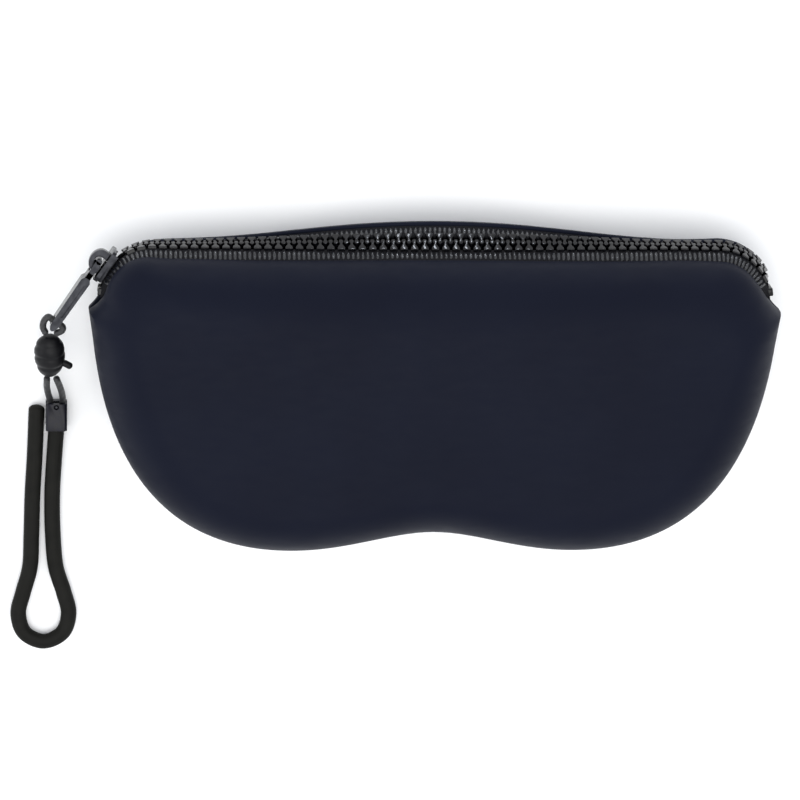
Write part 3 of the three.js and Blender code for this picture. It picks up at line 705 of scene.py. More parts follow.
@dataclass
class Pouch:
    """The two soft halves of the case.

    Attributes:
        zip_line: The line of the zip.
        half_width: Half the width at the shoulders.
        lobe_y: The lowest point of the outline.
        front_z: Height of the front face at its edge.
        finish: The silicone.
        lobe_x: Where the two lobes are lowest.
        notch_depth: How far the outline rises between the lobes.
        side_top_x: Half the width where the flared shoulder starts.
        side_top_y: Height of that place.
        crown: How far the front face swells.
        wall: Thickness of the moulding.
        edge_radius: How far the rounded edge reaches in round the lobes.
        mouth_radius: How far it reaches in at the mouth.
        spine_half: Half the length of the line that the faces are drawn towards.
        spine_y: Height of that line.
        lip_round: Rounding of the lips.
        seam_round: Rounding of the closed seam's edges.
    """

    zip_line: ZipLine
    half_width: float
    lobe_y: float
    front_z: float
    finish: Finish
    lobe_x: float = 37 * MM
    notch_depth: float = 5 * MM
    side_top_x: float = 88.8 * MM
    side_top_y: float = 14 * MM
    crown: float = 1.4 * MM
    wall: float = 2.2 * MM
    edge_radius: float = 14 * MM
    mouth_radius: float = 19 * MM
    spine_half: float = 50 * MM
    spine_y: float = 2 * MM
    lip_round: float = 0.7 * MM
    seam_round: float = 0.35 * MM
    edge_steps: int = 16
    face_steps: int = 8
    sharp_steps: int = 5
    stations: list[Station] = field(default_factory=list)

    def build(self) -> list[bpy.types.Object]:
        """Builds both halves.

        Returns:
            The rear half, and the front half as a left and a right piece.
        """
        self.stations = self._outline()
        rear = self._half("rear_pouch", -1, 0.0, 0.0)
        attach(rear, "rear_half")
        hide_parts("rear_shell")
        pieces = [rear]
        for name, keep in (("front_pouch_left", -1), ("front_pouch_right", 1)):
            piece = self._half(name, 1, self.front_z, self.crown)
            cut_to_side(piece, keep)
            shade(piece, 35)
            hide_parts("front_shell")
            bend_with_mouth(piece)
            pieces.append(piece)
        for piece in pieces:
            self.finish.dress(piece)
        return pieces

    def _bezier(self, corners: list[Vector], count: int) -> list[Station]:
        """Places even stations along a cubic curve, its last end left out."""
        p0, p1, p2, p3 = corners
        fine = []
        for i in range(201):
            t = i / 200
            fine.append(p0 * (1 - t) ** 3 + p1 * (3 * t * (1 - t) ** 2) + p2 * (3 * t * t * (1 - t)) + p3 * t ** 3)
        even = resample(fine, count + 1)
        stations = []
        for i in range(count):
            ahead = (even[i + 1] - even[max(i - 1, 0)]).normalized()
            stations.append(Station(even[i], Vector((ahead.y, -ahead.x))))
        return stations

    def _outline(self) -> list[Station]:
        """Lists the stations from the notch up the right side and down the left side."""
        reach = self.side_top_x - self.lobe_x
        climb = self.side_top_y - self.lobe_y
        notch_y = self.lobe_y + self.notch_depth
        notch = [
            Vector((0, notch_y)),
            Vector((0.3 * self.lobe_x, notch_y)),
            Vector((0.6 * self.lobe_x, self.lobe_y)),
            Vector((self.lobe_x, self.lobe_y)),
        ]
        lobe = [
            Vector((self.lobe_x, self.lobe_y)),
            Vector((self.lobe_x + 0.64 * reach, self.lobe_y)),
            Vector((self.lobe_x + 0.93 * reach, self.lobe_y + 0.41 * climb)),
            Vector((self.side_top_x, self.side_top_y)),
        ]
        shoulder_y = self.zip_line.corner_y - self.zip_line.drop
        side_top = Vector((self.side_top_x, self.side_top_y))
        shoulder = Vector((self.half_width, shoulder_y))
        side = [side_top, side_top.lerp(shoulder, 0.33), side_top.lerp(shoulder, 0.67), shoulder]
        right = self._bezier(notch, 16) + self._bezier(lobe, 44) + self._bezier(side, 6)
        right[0].outward = Vector((0, -1))
        line = self.zip_line
        corner_span = line.half_length - line.top_half
        right += [self._lip_station(line.half_length - corner_span * i / 36) for i in range(36)]
        right += [self._lip_station(line.top_half * (1 - i / 40)) for i in range(41)]
        left = [
            Station(
                Vector((-station.point.x, station.point.y)),
                Vector((-station.outward.x, station.outward.y)),
                None if station.s is None else -station.s,
                station.height,
            )
            for station in reversed(right[1:-1])
        ]
        return right + left

    def _lip_station(self, s: float) -> Station:
        """Makes a station on the lip. Near the zip's ends the lip runs out to the shoulder."""
        line = self.zip_line
        centre, outward = line.centre(s)
        low = line.lip(s)
        shoulder = self.half_width - line.top_half - line.corner_radius - low
        near_end = 1 - min(1.0, (line.half_length - abs(s)) / (0.8 * line.gap_end))
        height = low + shoulder * near_end * near_end
        return Station(centre + outward * height, outward, s, height)

    def _rim(self, station: Station, side: int, across: float, depth: float) -> Vector:
        """Gives a point near the rim: a distance past the rim plane, and a depth below the lip."""
        if station.s is None:
            height = self.zip_line.seam_z + side * (self.zip_line.seam_half_gap + across)
            inner = station.point - station.outward * depth
            return Vector((inner.x, inner.y, height))
        gap = self.zip_line.lips(station.s)
        return Vector(self.zip_line.beside(station.s, side * (gap + across), station.height - depth))

    def _reach(self, station: Station) -> float:
        """Gives how far the rounded edge reaches in at a station."""
        if station.s is None:
            return self.edge_radius
        line = self.zip_line
        share = (line.half_length - abs(station.s)) / (line.corner_length + line.drop)
        return self.edge_radius + (self.mouth_radius - self.edge_radius) * smoothstep(share)

    def _skin(self, rim: Vector, station: Station, face_z: float, crown: float) -> list[Point]:
        """Draws one line from the rim over the rounded edge to the middle of the face."""
        target = Vector((self.spine_half * station.point.x / self.half_width, self.spine_y))
        inward = target - Vector((rim.x, rim.y))
        whole = inward.length
        inward.normalize()
        radius = self._reach(station)
        points = []
        for i in range(self.edge_steps + 1):
            turn = math.pi / 2 * i / self.edge_steps
            inset = radius * (1 - math.cos(turn))
            rise = rim.z + (face_z - rim.z) * math.sin(turn) + crown * smoothstep(inset / whole)
            points.append((rim.x + inward.x * inset, rim.y + inward.y * inset, rise))
        for i in range(1, self.face_steps + 1):
            inset = radius + (whole - radius) * 0.96 * i / self.face_steps
            rise = face_z + crown * smoothstep(inset / whole)
            points.append((rim.x + inward.x * inset, rim.y + inward.y * inset, rise))
        return points

    def _half(self, name: str, side: int, face_z: float, crown: float) -> bpy.types.Object:
        """Builds one half as a closed shell with rounded lips.

        Args:
            name: The object's name.
            side: -1 for the rear half, +1 for the front half.
            face_z: Height of its face.
            crown: How far the face swells.

        Returns:
            The object.
        """
        columns = []
        for station in self.stations:
            parted = 0.0
            if station.s is not None:
                parted = smoothstep((self.zip_line.half_length - abs(station.s)) / self.zip_line.gap_end)
            rounding = self.seam_round + (self.lip_round - self.seam_round) * parted
            outer = self._skin(self._rim(station, side, rounding, 0.0), station, face_z, crown)
            inner_face = face_z - side * self.wall
            inner = self._skin(self._rim(station, side, rounding, self.wall), station, inner_face, crown)
            edge = []
            for angle in (22.5, 45, 67.5, 90):
                turn = math.radians(angle)
                across = rounding * (1 - math.sin(turn))
                depth = rounding * (1 - math.cos(turn))
                edge.append((across, depth))
            outer_edge = [tuple(self._rim(station, side, across, depth)) for across, depth in edge]
            inner_edge = [tuple(self._rim(station, side, across, self.wall - depth)) for across, depth in edge]
            columns.append([*reversed(outer), *outer_edge, *reversed(inner_edge), *inner])
        rings = [[column[i] for column in columns] for i in range(len(columns[0]))]
        for i, ring in enumerate(rings):
            from_rim = self.edge_steps + self.face_steps - min(i, len(rings) - 1 - i)
            rings[i] = relax(ring, round(max(0, from_rim - self.sharp_steps) ** 1.4))
        vertices, faces = loft(rings)
        return make_object(name, vertices, faces)


def relax(ring: list[Point], rounds: int) -> list[Point]:
    """Evens out a closed ring of points, so that a corner in the outline fades across the face.

    Args:
        ring: The points.
        rounds: How many times to even them out.

    Returns:
        The evened ring.
    """
    for _ in range(rounds):
        ahead = ring[1:] + ring[:1]
        behind = ring[-1:] + ring[:-1]
        ring = [
            tuple(0.25 * a + 0.5 * b + 0.25 * c for a, b, c in zip(before, here, after))
            for before, here, after in zip(behind, ring, ahead)
        ]
    return ring


def cut_to_side(thing: bpy.types.Object, keep: int) -> None:
    """Cuts an object at the middle of the case and closes the cut.

    Args:
        thing: The object.
        keep: -1 to keep its left part, +1 to keep its right part.
    """
    edit = bmesh.new()
    edit.from_mesh(thing.data)
    geometry = [*edit.verts, *edit.edges, *edit.faces]
    cut = bmesh.ops.bisect_plane(
        edit, geom=geometry, dist=1e-7, plane_co=(0, 0, 0), plane_no=(keep, 0, 0), clear_inner=True,
    )
    edges = [item for item in cut["geom_cut"] if isinstance(item, bmesh.types.BMEdge)]
    bmesh.ops.holes_fill(edit, edges=edges)
    edit.to_mesh(thing.data)
    edit.free()


def bend_with_mouth(thing: bpy.types.Object) -> None:
    """Bakes the placement of a piece of the front half into its mesh."""
    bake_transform(thing)


# ---------------------------------------------------------------- zip


@dataclass
class Zip:
    """Tapes, teeth and stops.

    Attributes:
        line: The line of the chain.
        half_width: Half the width of the case; not used.
        palette: The finishes.
        pitch: Distance between two teeth of one row.
        first_s: Place of the rear row's first tooth.
        last_s: Where the teeth end at the bottom stop.
        half_thickness: Half the height of a tooth.
        bead_inner: Inner side of the cord bead.
        bead_outer: Outer side of the cord bead.
        wrap_pitch: Distance between the threads wound round the bead.
        tape_half: Half the thickness of the tape.
        rib_inner: Inner end of the cross threads beside the teeth.
        rib_outer: Outer end of them.
        rib_half: Half the width of one.
        rib_rise: How far they stand up.
    """

    line: ZipLine
    half_width: float
    palette: Palette
    first_s: float
    last_s: float
    pitch: float = 2.7 * MM
    half_thickness: float = 1.2 * MM
    bead_inner: float = 1.95 * MM
    bead_outer: float = 2.9 * MM
    wrap_pitch: float = 1.27 * MM
    tape_half: float = 0.28 * MM
    rib_inner: float = 2.85 * MM
    rib_outer: float = 5.05 * MM
    rib_half: float = 0.42 * MM
    rib_rise: float = 0.42 * MM

    # Half-width along the chain and place across it, from the bead to the tip of the head.
    tooth_profile = (
        (0.98, 2.72), (1.0, 2.3), (0.93, 1.9), (0.7, 1.5), (0.44, 1.14), (0.34, 0.8), (0.36, 0.55),
        (0.5, 0.3), (0.6, 0.05), (0.61, -0.18), (0.53, -0.44), (0.36, -0.64), (0.13, -0.73),
    )

    def build(self) -> list[bpy.types.Object]:
        """Builds the tapes, the teeth and the stops, each dressed; the rear pieces and the bottom stop ride with the
        rear half.
        """
        pieces = []
        for side, label in ((-1, "rear"), (1, "front")):
            for skin, name, node, finish, slot in (
                (self._tape(side), "zip_tape", "tape", self.palette.tape, "zip_tape"),
                (self._ribs(side), "zip_threads", "tape", self.palette.thread, "zip_tape"),
                (self._teeth(side), "zip_teeth", "teeth", self.palette.teeth, "zip_teeth"),
            ):
                pieces += self._place(skin, f"{label}_{name}", label, f"{label}_{node}", finish)
        pieces += self._stops()
        return pieces

    def _place(self, skin: tuple, name: str, label: str, node: str, finish: Finish) -> list:
        """Makes one piece for the rear side, or a left and a right piece for the front side."""
        if label == "rear":
            piece = make_object(name, *skin)
            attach(piece, "rear_half")
            made = [piece]
        else:
            made = []
            for suffix, keep in (("left", -1), ("right", 1)):
                piece = make_object(f"{name}_{suffix}", *skin)
                cut_to_side(piece, keep)
                shade(piece, 35)
                bend_with_mouth(piece)
                made.append(piece)
        for piece in made:
            finish.dress(piece)
            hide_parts(node)
        return made

    def _drop(self, s: float, across: float) -> float:
        """Gives how far above the chain the tape lies at a distance across it."""
        outer = self.line.lips(s) - 0.3 * MM
        share = smoothstep((across - 2.4 * MM) / max(outer - 2.4 * MM, 0.5 * MM))
        return (self.line.lip(s) - 0.9 * MM) * share

    def _tape(self, side: int) -> tuple[list[Point], list[Face]]:
        """Sweeps the tape and its cord bead, swollen between the threads that are wound round it."""
        line = self.line
        reach = line.half_length - 0.45 * line.gap_end
        steps = round(2 * reach / (self.wrap_pitch / 4))
        middle = 0.5 * (self.bead_inner + self.bead_outer)
        half = 0.5 * (self.bead_outer - self.bead_inner)
        rings = []
        for i in range(steps + 1):
            s = -reach + 2 * reach * i / steps
            outer = line.lips(s) + 0.25 * MM
            section = [
                (middle - half, 0.0), (middle - 0.7 * half, 0.66 * half), (middle, 0.95 * half),
                (middle + 0.7 * half, 0.66 * half),
            ]
            shares = (0.05, 0.25, 0.45, 0.65, 0.85, 1.0)
            run = [self.bead_outer + (outer - self.bead_outer) * share for share in shares]
            run = [min(across, outer) for across in run]
            section += [(across, self._drop(s, across) + self.tape_half) for across in run]
            section += [(across, self._drop(s, across) - self.tape_half) for across in reversed(run)]
            section += [(middle, -0.95 * half), (middle - 0.7 * half, -0.66 * half)]
            rings.append([line.beside(s, side * across, above) for across, above in section])
        return loft(rings)

    def _ribs(self, side: int) -> tuple[list[Point], list[Face]]:
        """Lays the thick cross threads of the tape beside the teeth, one after another."""
        line = self.line
        reach = line.half_length - line.gap_end
        count = round(2 * reach / self.wrap_pitch)
        parts = []
        for i in range(count + 1):
            s = -reach + 2 * reach * i / count
            inner, outer = self.rib_inner, min(self.rib_outer, line.lips(s) - 0.2 * MM)
            rings = []
            for share, girth in ((0, 0.35), (0.05, 0.75), (0.16, 1), (0.5, 1.08), (0.84, 1), (0.95, 0.75), (1, 0.35)):
                across = inner + (outer - inner) * share
                base = self._drop(s, across) + 0.5 * self.tape_half
                ring = []
                for j in range(10):
                    turn = 2 * math.pi * j / 10
                    along = self.rib_half * girth * math.cos(turn)
                    above = base + self.rib_rise * girth * math.sin(turn)
                    ring.append(line.beside(s + along, side * across, above))
                rings.append(ring)
            parts.append(loft(rings))
        return merge_parts(parts)

    def _tooth(self, side: int, s: float) -> tuple[list[Point], list[Face]]:
        """Makes one moulded tooth: a wide foot, a narrow neck and a round head, with rounded rims."""
        outline = [(along * MM, across * MM) for along, across in self.tooth_profile]
        outline += [(-along, across) for along, across in reversed(outline)]
        layers = ((-1.0, 0.12), (-0.9, 0.02), (-0.8, 0.0), (0.82, 0.0), (0.93, 0.03), (0.985, 0.09), (1.0, 0.16))
        foot, tip = self.tooth_profile[0][1] * MM, self.tooth_profile[-1][1] * MM
        rings = []
        for level, inset in layers:
            ring = []
            for along, across in outline:
                narrow = math.copysign(max(abs(along) - inset * MM, 0.2 * abs(along)), along)
                drawn = min(max(across, tip + inset * MM), foot - inset * MM)
                ring.append(self.line.beside(s + narrow, side * drawn, level * self.half_thickness))
            rings.append(ring)
        return loft(rings)

    def _teeth(self, side: int) -> tuple[list[Point], list[Face]]:
        """Lays out one row of teeth. The front row is half a pitch along."""
        s = self.first_s + (self.pitch / 2 if side > 0 else 0)
        parts = []
        while s + self.pitch / 2 < self.last_s:
            parts.append(self._tooth(side, s))
            s += self.pitch
        return merge_parts(parts)

    def _stops(self) -> list[bpy.types.Object]:
        """Builds the two top stops and the bottom stop as rounded blocks."""
        made = []
        for node, body in (("top_stop_rear", "rear_half"), ("top_stop_front", None), ("bottom_stop", "rear_half")):
            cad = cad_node(node)
            block = bpy.data.objects.new(f"{node}_block", cad.data.copy())
            bpy.context.scene.collection.objects.link(block)
            dissolve_flat(block)
            soften_edges(block, 0.35 * MM, 4)
            self.palette.teeth.dress(block)
            if body:
                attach(block, body)
            else:
                bend_with_mouth(block)
            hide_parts(node)
            made.append(block)
        return made


FRAME: dict = {}


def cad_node(name: str) -> bpy.types.Object:
    """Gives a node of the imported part."""
    return FRAME["nodes"][name]


def dissolve_flat(thing: bpy.types.Object) -> None:
    """Joins the flat triangles of a mesh into whole faces."""
    edit = bmesh.new()
    edit.from_mesh(thing.data)
    bmesh.ops.remove_doubles(edit, verts=edit.verts, dist=1e-6)
    bmesh.ops.dissolve_limit(edit, angle_limit=math.radians(1), verts=edit.verts, edges=edit.edges)
    edit.to_mesh(thing.data)
    edit.free()


# ---------------------------------------------------------------- slider and puller


def prism(name: str, outline: list[tuple[float, float]], low: float, high: float, place: Matrix) -> bpy.types.Object:
    """Makes a straight-sided solid from an outline.

    Args:
        name: The object's name.
        outline: Points round it, in its own X and Y.
        low: Its lower end along its own Z.
        high: Its upper end along its own Z.
        place: Where it goes.

    Returns:
        The object.
    """
    rings = [[tuple(place @ Vector((x, y, z))) for x, y in outline] for z in (low, high)]
    return make_object(name, *loft(rings))


def arc(centre: tuple[float, float], radius: tuple[float, float], start: float, end: float, steps: int) -> list:
    """Gives points on part of an ellipse, angles in degrees."""
    points = []
    for i in range(steps + 1):
        turn = math.radians(start + (end - start) * i / steps)
        points.append((centre[0] + radius[0] * math.cos(turn), centre[1] + radius[1] * math.sin(turn)))
    return points


@dataclass
class Slider:
    """The slider: two plates, a post between them, flanges and the bridge.

    Its own +X runs from nose to tail, +Y out of the case and Z across.

    Attributes:
        centre: Its centre on the chain.
        turn: How far its own +X is turned from the X axis.
        pivot_y: Height of the puller's pivot above the chain.
        finish: The metal.
    """

    centre: Vector
    turn: float
    pivot_y: float
    finish: Finish
    half_length: float = 4.6 * MM
    nose_half: float = 4.2 * MM
    tail_half: float = 3.7 * MM
    plate: float = 1.0 * MM
    plate_inner: float = 1.44 * MM
    lower_inner: float = -2.29 * MM
    slot_top: float = 0.54 * MM
    slot_bottom: float = -1.39 * MM
    flange: float = 0.6 * MM
    post_half: float = 0.9 * MM
    post_length: float = 2.2 * MM
    bridge_half_length: float = 3.1 * MM
    bridge_half_width: float = 1.0 * MM
    bridge_bar: float = 1.3 * MM
    window_half: float = 1.2 * MM

    @property
    def place(self) -> Matrix:
        """Where the slider's own axes go."""
        return Matrix.Translation(self.centre) @ Matrix.Rotation(self.turn, 4, "Z")

    def build(self) -> bpy.types.Object:
        """Builds the slider as one solid, rounded and dressed."""
        # Plates are drawn in X and Z, and stand along Y.
        upright = self.place @ Matrix(((1, 0, 0, 0), (0, 0, 1, 0), (0, 1, 0, 0), (0, 0, 0, 1)))
        outline = self._plate_outline()
        body = prism("slider_casting", outline, self.plate_inner, self.plate_inner + self.plate, upright)
        lower = prism("lower_plate", outline, self.lower_inner - self.plate, self.lower_inner, upright)
        tools = [lower, self._post(upright), *self._flanges(upright), self._bridge()]
        combine(body, tools, "UNION")
        soften_edges(body, 0.22 * MM, 3, 40)
        self.finish.dress(body)
        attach(body, "slider")
        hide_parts("slider_body")
        return body

    def _plate_outline(self) -> list[tuple[float, float]]:
        """Draws a plate: wide at the nose, narrower at the tail, with round corners."""
        nose, tail = 1.7 * MM, 0.7 * MM
        right = self.half_length - tail
        left = -self.half_length + nose
        return [
            *arc((right, self.tail_half - tail), (tail, tail), 0, 90, 4),
            *arc((left, self.nose_half - nose), (nose, nose), 90, 180, 7),
            *arc((left, -self.nose_half + nose), (nose, nose), 180, 270, 7),
            *arc((right, -self.tail_half + tail), (tail, tail), 270, 360, 4),
        ]

    def _post(self, upright: Matrix) -> bpy.types.Object:
        """Makes the lozenge post between the plates."""
        start = -self.half_length + self.flange
        middle = start + 0.5 * self.post_length
        end = start + self.post_length
        outline = [(start, 0), (middle, self.post_half), (end, 0), (middle, -self.post_half)]
        low = self.lower_inner - 0.5 * self.plate
        return prism("post", outline, low, self.plate_inner + 0.5 * self.plate, upright)

    def _flanges(self, upright: Matrix) -> list[bpy.types.Object]:
        """Makes the four low walls that hold the tapes in."""
        reach = self.half_length - self.flange
        walls = []
        for across in (-1, 1):
            edges = sorted((across * (self.tail_half - self.flange), across * self.tail_half))
            outline = [(-reach, edges[0]), (reach, edges[0]), (reach, edges[1]), (-reach, edges[1])]
            top = self.plate_inner + 0.5 * self.plate
            bottom = self.lower_inner - 0.5 * self.plate
            walls.append(prism("flange", outline, self.slot_top, top, upright))
            walls.append(prism("flange", outline, bottom, self.slot_bottom, upright))
        return walls

    def _bridge(self) -> bpy.types.Object:
        """Makes the arch over the upper plate."""
        root = self.plate_inner + 0.7 * self.plate
        window_top = self.pivot_y + self.window_half
        top = window_top + self.bridge_bar
        outer = arc((0, self.pivot_y), (self.bridge_half_length, top - self.pivot_y), 0, 180, 18)
        inner_rise = (self.window_half, window_top - self.pivot_y)
        inner = arc((0, self.pivot_y), inner_rise, 180, 0, 12)
        outline = [
            (self.bridge_half_length, root), *outer, (-self.bridge_half_length, root),
            (-self.window_half, root), *inner, (self.window_half, root),
        ]
        return prism("bridge", outline, -self.bridge_half_width, self.bridge_half_width, self.place)


@dataclass
class Puller:
    """The puller. Its own +X runs from the pivot to the tip.

    Attributes:
        pivot: The pivot in the slider's bridge.
        heading: The direction of the tip at rest.
        hole_x: Distance from the pivot to the cord hole.
        finish: The metal.
    """

    pivot: Vector
    heading: float
    hole_x: float
    finish: Finish
    hole_inset: float = 2.2 * MM
    half_thickness: float = 1.3 * MM
    tip_half_thickness: float = 1.1 * MM
    half_width: float = 2.4 * MM
    eye_half: float = 0.75 * MM
    eye_inner: float = 1.3 * MM
    neck_start: float = 3.7 * MM
    body_start: float = 5.3 * MM
    hole_radius: float = 1.32 * MM
    groove_half: float = 0.42 * MM
    groove_depth: float = 0.4 * MM

    @property
    def place(self) -> Matrix:
        """Where the puller's own axes go."""
        return Matrix.Translation(self.pivot) @ Matrix.Rotation(self.heading, 4, "Z")

    def build(self) -> bpy.types.Object:
        """Builds the puller as one solid with its hole and grooves."""
        place = self.place
        body = prism("puller_casting", self._outline(), -self.half_width, self.half_width, place)
        bar_ring = arc((0, 0), (self.eye_half, self.eye_half), 0, 345, 23)
        cross_bar = prism("cross_bar", bar_ring, -self.half_width, self.half_width, place)
        sides = []
        for across in (-1, 1):
            low, high = sorted((across * self.eye_inner, across * self.half_width))
            reach = self.body_start
            outline = [(0, -self.eye_half), (reach, -self.eye_half), (reach, self.eye_half), (0, self.eye_half)]
            sides.append(prism("side_bar", outline, low, high, place))
        combine(body, [cross_bar, *sides], "UNION")
        upright = place @ Matrix(((1, 0, 0, 0), (0, 0, 1, 0), (0, 1, 0, 0), (0, 0, 0, 1)))
        ring = arc((self.hole_x, 0), (self.hole_radius, self.hole_radius), 0, 352.5, 47)
        hole = prism("hole", ring, -3 * self.half_thickness, 3 * self.half_thickness, upright)
        grooves = [self._groove(side) for side in (-1, 1)]
        combine(body, [hole, *grooves], "DIFFERENCE")
        soften_edges(body, 0.3 * MM, 3, 32)
        self.finish.dress(body)
        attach(body, "puller")
        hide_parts("puller")
        return body

    def _outline(self) -> list[tuple[float, float]]:
        """Draws the puller from the side: a neck, a bar and a rounded tip."""
        tip = self.hole_x + self.hole_inset
        shoulder = self.body_start + 0.9 * MM
        tip_arc = arc((self.hole_x, 0), (tip - self.hole_x, self.tip_half_thickness), -90, 90, 14)
        return [
            (self.neck_start, -self.eye_half), (self.body_start, -self.eye_half), (shoulder, -self.half_thickness),
            *tip_arc,
            (shoulder, self.half_thickness), (self.body_start, self.eye_half), (self.neck_start, self.eye_half),
        ]

    def _groove(self, side: int) -> bpy.types.Object:
        """Makes the long recess in one edge of the bar, with round ends."""
        start = self.body_start + 2.2 * MM
        end = self.hole_x - 2.6 * MM
        half = self.groove_half
        outline = [*arc((end, 0), (half, half), -90, 90, 8), *arc((start, 0), (half, half), 90, 270, 8)]
        low, high = sorted((side * (self.half_width - self.groove_depth), side * (self.half_width + 1 * MM)))
        return prism("groove", outline, low, high, self.place)


# ---------------------------------------------------------------- cord, knot, cuff and strap


@dataclass
class Lanyard:
    """The cord, its knot, the cuff and the strap. They ride together.

    Attributes:
        hole: The puller's cord hole.
        palette: The finishes.
        cord_radius: Radius of the thin cord.
        loop_length: Length of the thin cord's loop from the knot round the pin and back; not used.
        strap_length: Length of the rubber strap; not used.
    """

    hole: Vector
    palette: Palette
    cord_radius: float = 0.87 * MM
    loop_length: float = 31.5 * MM
    strap_length: float = 132.3 * MM
    strap_half_width: float = 2.1 * MM
    strap_half_height: float = 1.6 * MM
    strap_z: float = 1.9 * MM
    knot_tilt: float = math.radians(20)

    # Offsets from the puller's cord hole, in millimetres.
    eye_route = (
        (-2.7, -3.0, -0.6), (-3.3, -1.4, -0.3), (-2.9, 0.4, 0), (-1.9, 1.3, 0), (-0.8, 0.55, 0),
        (0.8, -0.55, 0), (1.75, -1.35, 0), (1.6, -2.4, -0.3), (0.2, -3.2, -0.6),
    )

    # Points of the thin loop, in millimetres: down from the knot, round the pin and back.
    loop_route = (
        (-100.7, 2.0, 12.0), (-100.7, -1.2, 8.6), (-100.3, -4.2, 5.2), (-99.85, -6.3, 3.6),
        (-99.8, -7.7, 3.4), (-99.33, -8.83, 3.4), (-98.2, -9.3, 3.4),
        (-97.07, -8.83, 3.4), (-96.6, -7.7, 3.4), (-96.55, -6.3, 3.6),
        (-96.7, -4.2, 5.2), (-97.3, -1.2, 8.6), (-98.2, 2.0, 12.0),
    )

    # Points of the strap on the floor, in millimetres: from the cuff, round and back beside it.
    strap_route = (
        (-98.2, -14.4), (-98.8, -23), (-99.3, -33), (-99.1, -44), (-98.3, -53), (-96.2, -60),
        (-94.9, -66), (-96.6, -71.4), (-101.6, -73.8), (-106.6, -71.4), (-108.3, -66),
        (-107, -60), (-105.2, -53), (-104.8, -44), (-104.5, -33), (-103.9, -22), (-103.4, -9.2),
    )

    def build(self) -> list[bpy.types.Object]:
        knot = self._knot()
        cuff = self._cuff()
        pin = self._pin()
        eye = self._eye()
        loop, loop_path = self._loop()
        strap, strap_path = self._strap()
        for piece, node, slot in (
            (knot, "cord_knot", "thin_cord"),
            (cuff, "strap_cuff", "cuff_plastic"),
            (pin, "cuff_pin", "slider_metal"),
            (eye, "cord_eye", "thin_cord"),
            (loop, "cord_loop", "thin_cord"),
            (strap, "strap", "strap_rubber"),
        ):
            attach(piece, "lanyard")
            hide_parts(node)
        log.info("cord loop %.1f mm, strap %.1f mm", route_length(loop_path) / MM, route_length(strap_path) / MM)
        return [knot, cuff, pin, eye, loop, strap]

    def _eye(self) -> bpy.types.Object:
        """Threads the cord through the puller."""
        knots = [self.hole + Vector(offset) * MM for offset in self.eye_route]
        skin = Section(self.cord_radius, self.cord_radius, 18).sweep(smooth_route(knots, 60), Vector((0, 0, 1)))
        piece = make_object("cord_through_puller", *skin)
        self.palette.cord.dress(piece)
        return piece

    def _loop(self) -> tuple[bpy.types.Object, list[Vector]]:
        """Lays the thin loop below the knot."""
        path = smooth_route([Vector(point) * MM for point in self.loop_route], 120)
        skin = Section(self.cord_radius, self.cord_radius, 18).sweep(path, Vector((0, 0, 1)))
        piece = make_object("thin_cord_loop", *skin)
        self.palette.cord.dress(piece)
        return piece, path

    def _strap(self) -> tuple[bpy.types.Object, list[Vector]]:
        """Lays the strap on the floor."""
        knots = [Vector((x * MM, y * MM, self.strap_z)) for x, y in self.strap_route]
        path = smooth_route(knots, 220)
        section = Section(self.strap_half_width, self.strap_half_height, 36, ribs=12, rib_depth=0.05 * MM)
        piece = make_object("carrying_strap", *section.sweep(path, Vector((0, 0, 1))))
        self.palette.strap.dress(piece)
        return piece, path

    def _knot(self) -> bpy.types.Object:
        """Makes the drawn-tight knot: wound turns that have pulled into one egg shape."""
        low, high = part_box("cord_knot")
        centre = Vector((-100, 9.0, 14.4)) * MM
        half = Vector((4.0, 6.3, 3.6)) * MM
        tilt = Matrix.Rotation(self.knot_tilt, 3, "X")
        rings = []
        steps, sides = 72, 40
        for i in range(1, steps):
            along = -1 + 2 * i / steps
            girth = math.sqrt(1 - along * along) ** 0.85
            ring = []
            for j in range(sides):
                turn = 2 * math.pi * j / sides
                lay = along * 2.1 * math.pi * 2 + turn + 0.5 * math.sin(2 * turn)
                ridge = 1 - 0.055 * (0.5 - 0.5 * math.cos(lay)) ** 2.5
                lobe = 1 + 0.04 * math.sin(turn * 2 + along * 2)
                reach = girth * ridge * lobe
                local = Vector((
                    half.x * reach * math.cos(turn), half.y * along, half.z * reach * math.sin(turn),
                ))
                ring.append(tuple(centre + tilt @ local))
            rings.append(ring)
        body = make_object("tight_knot", *loft(rings), 60)
        stub_start = Vector((low.x + 6.4 * MM, centre.y - 1.9 * MM, centre.z - 0.2 * MM))
        stub_end = Vector((high.x - 0.9 * MM, centre.y - 2.9 * MM, centre.z - 0.2 * MM))
        stub_path = smooth_route([stub_start, stub_start.lerp(stub_end, 0.5) + Vector((0, 0.2 * MM, 0)), stub_end], 14)
        radius = 1.05 * self.cord_radius
        stub = make_object("stub", *Section(radius, radius, 18).sweep(stub_path, Vector((0, 0, 1))))
        combine(body, [stub], "UNION")
        shade(body, 60)
        self.palette.knot.dress(body)
        return body

    def _cuff(self) -> bpy.types.Object:
        """Makes the cuff with its fork and pin hole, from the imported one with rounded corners."""
        piece = bpy.data.objects.new("strap_cuff_shell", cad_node("strap_cuff").data.copy())
        bpy.context.scene.collection.objects.link(piece)
        dissolve_flat(piece)
        soften_edges(piece, 0.3 * MM, 4, 40)
        self.palette.cuff.dress(piece)
        return piece

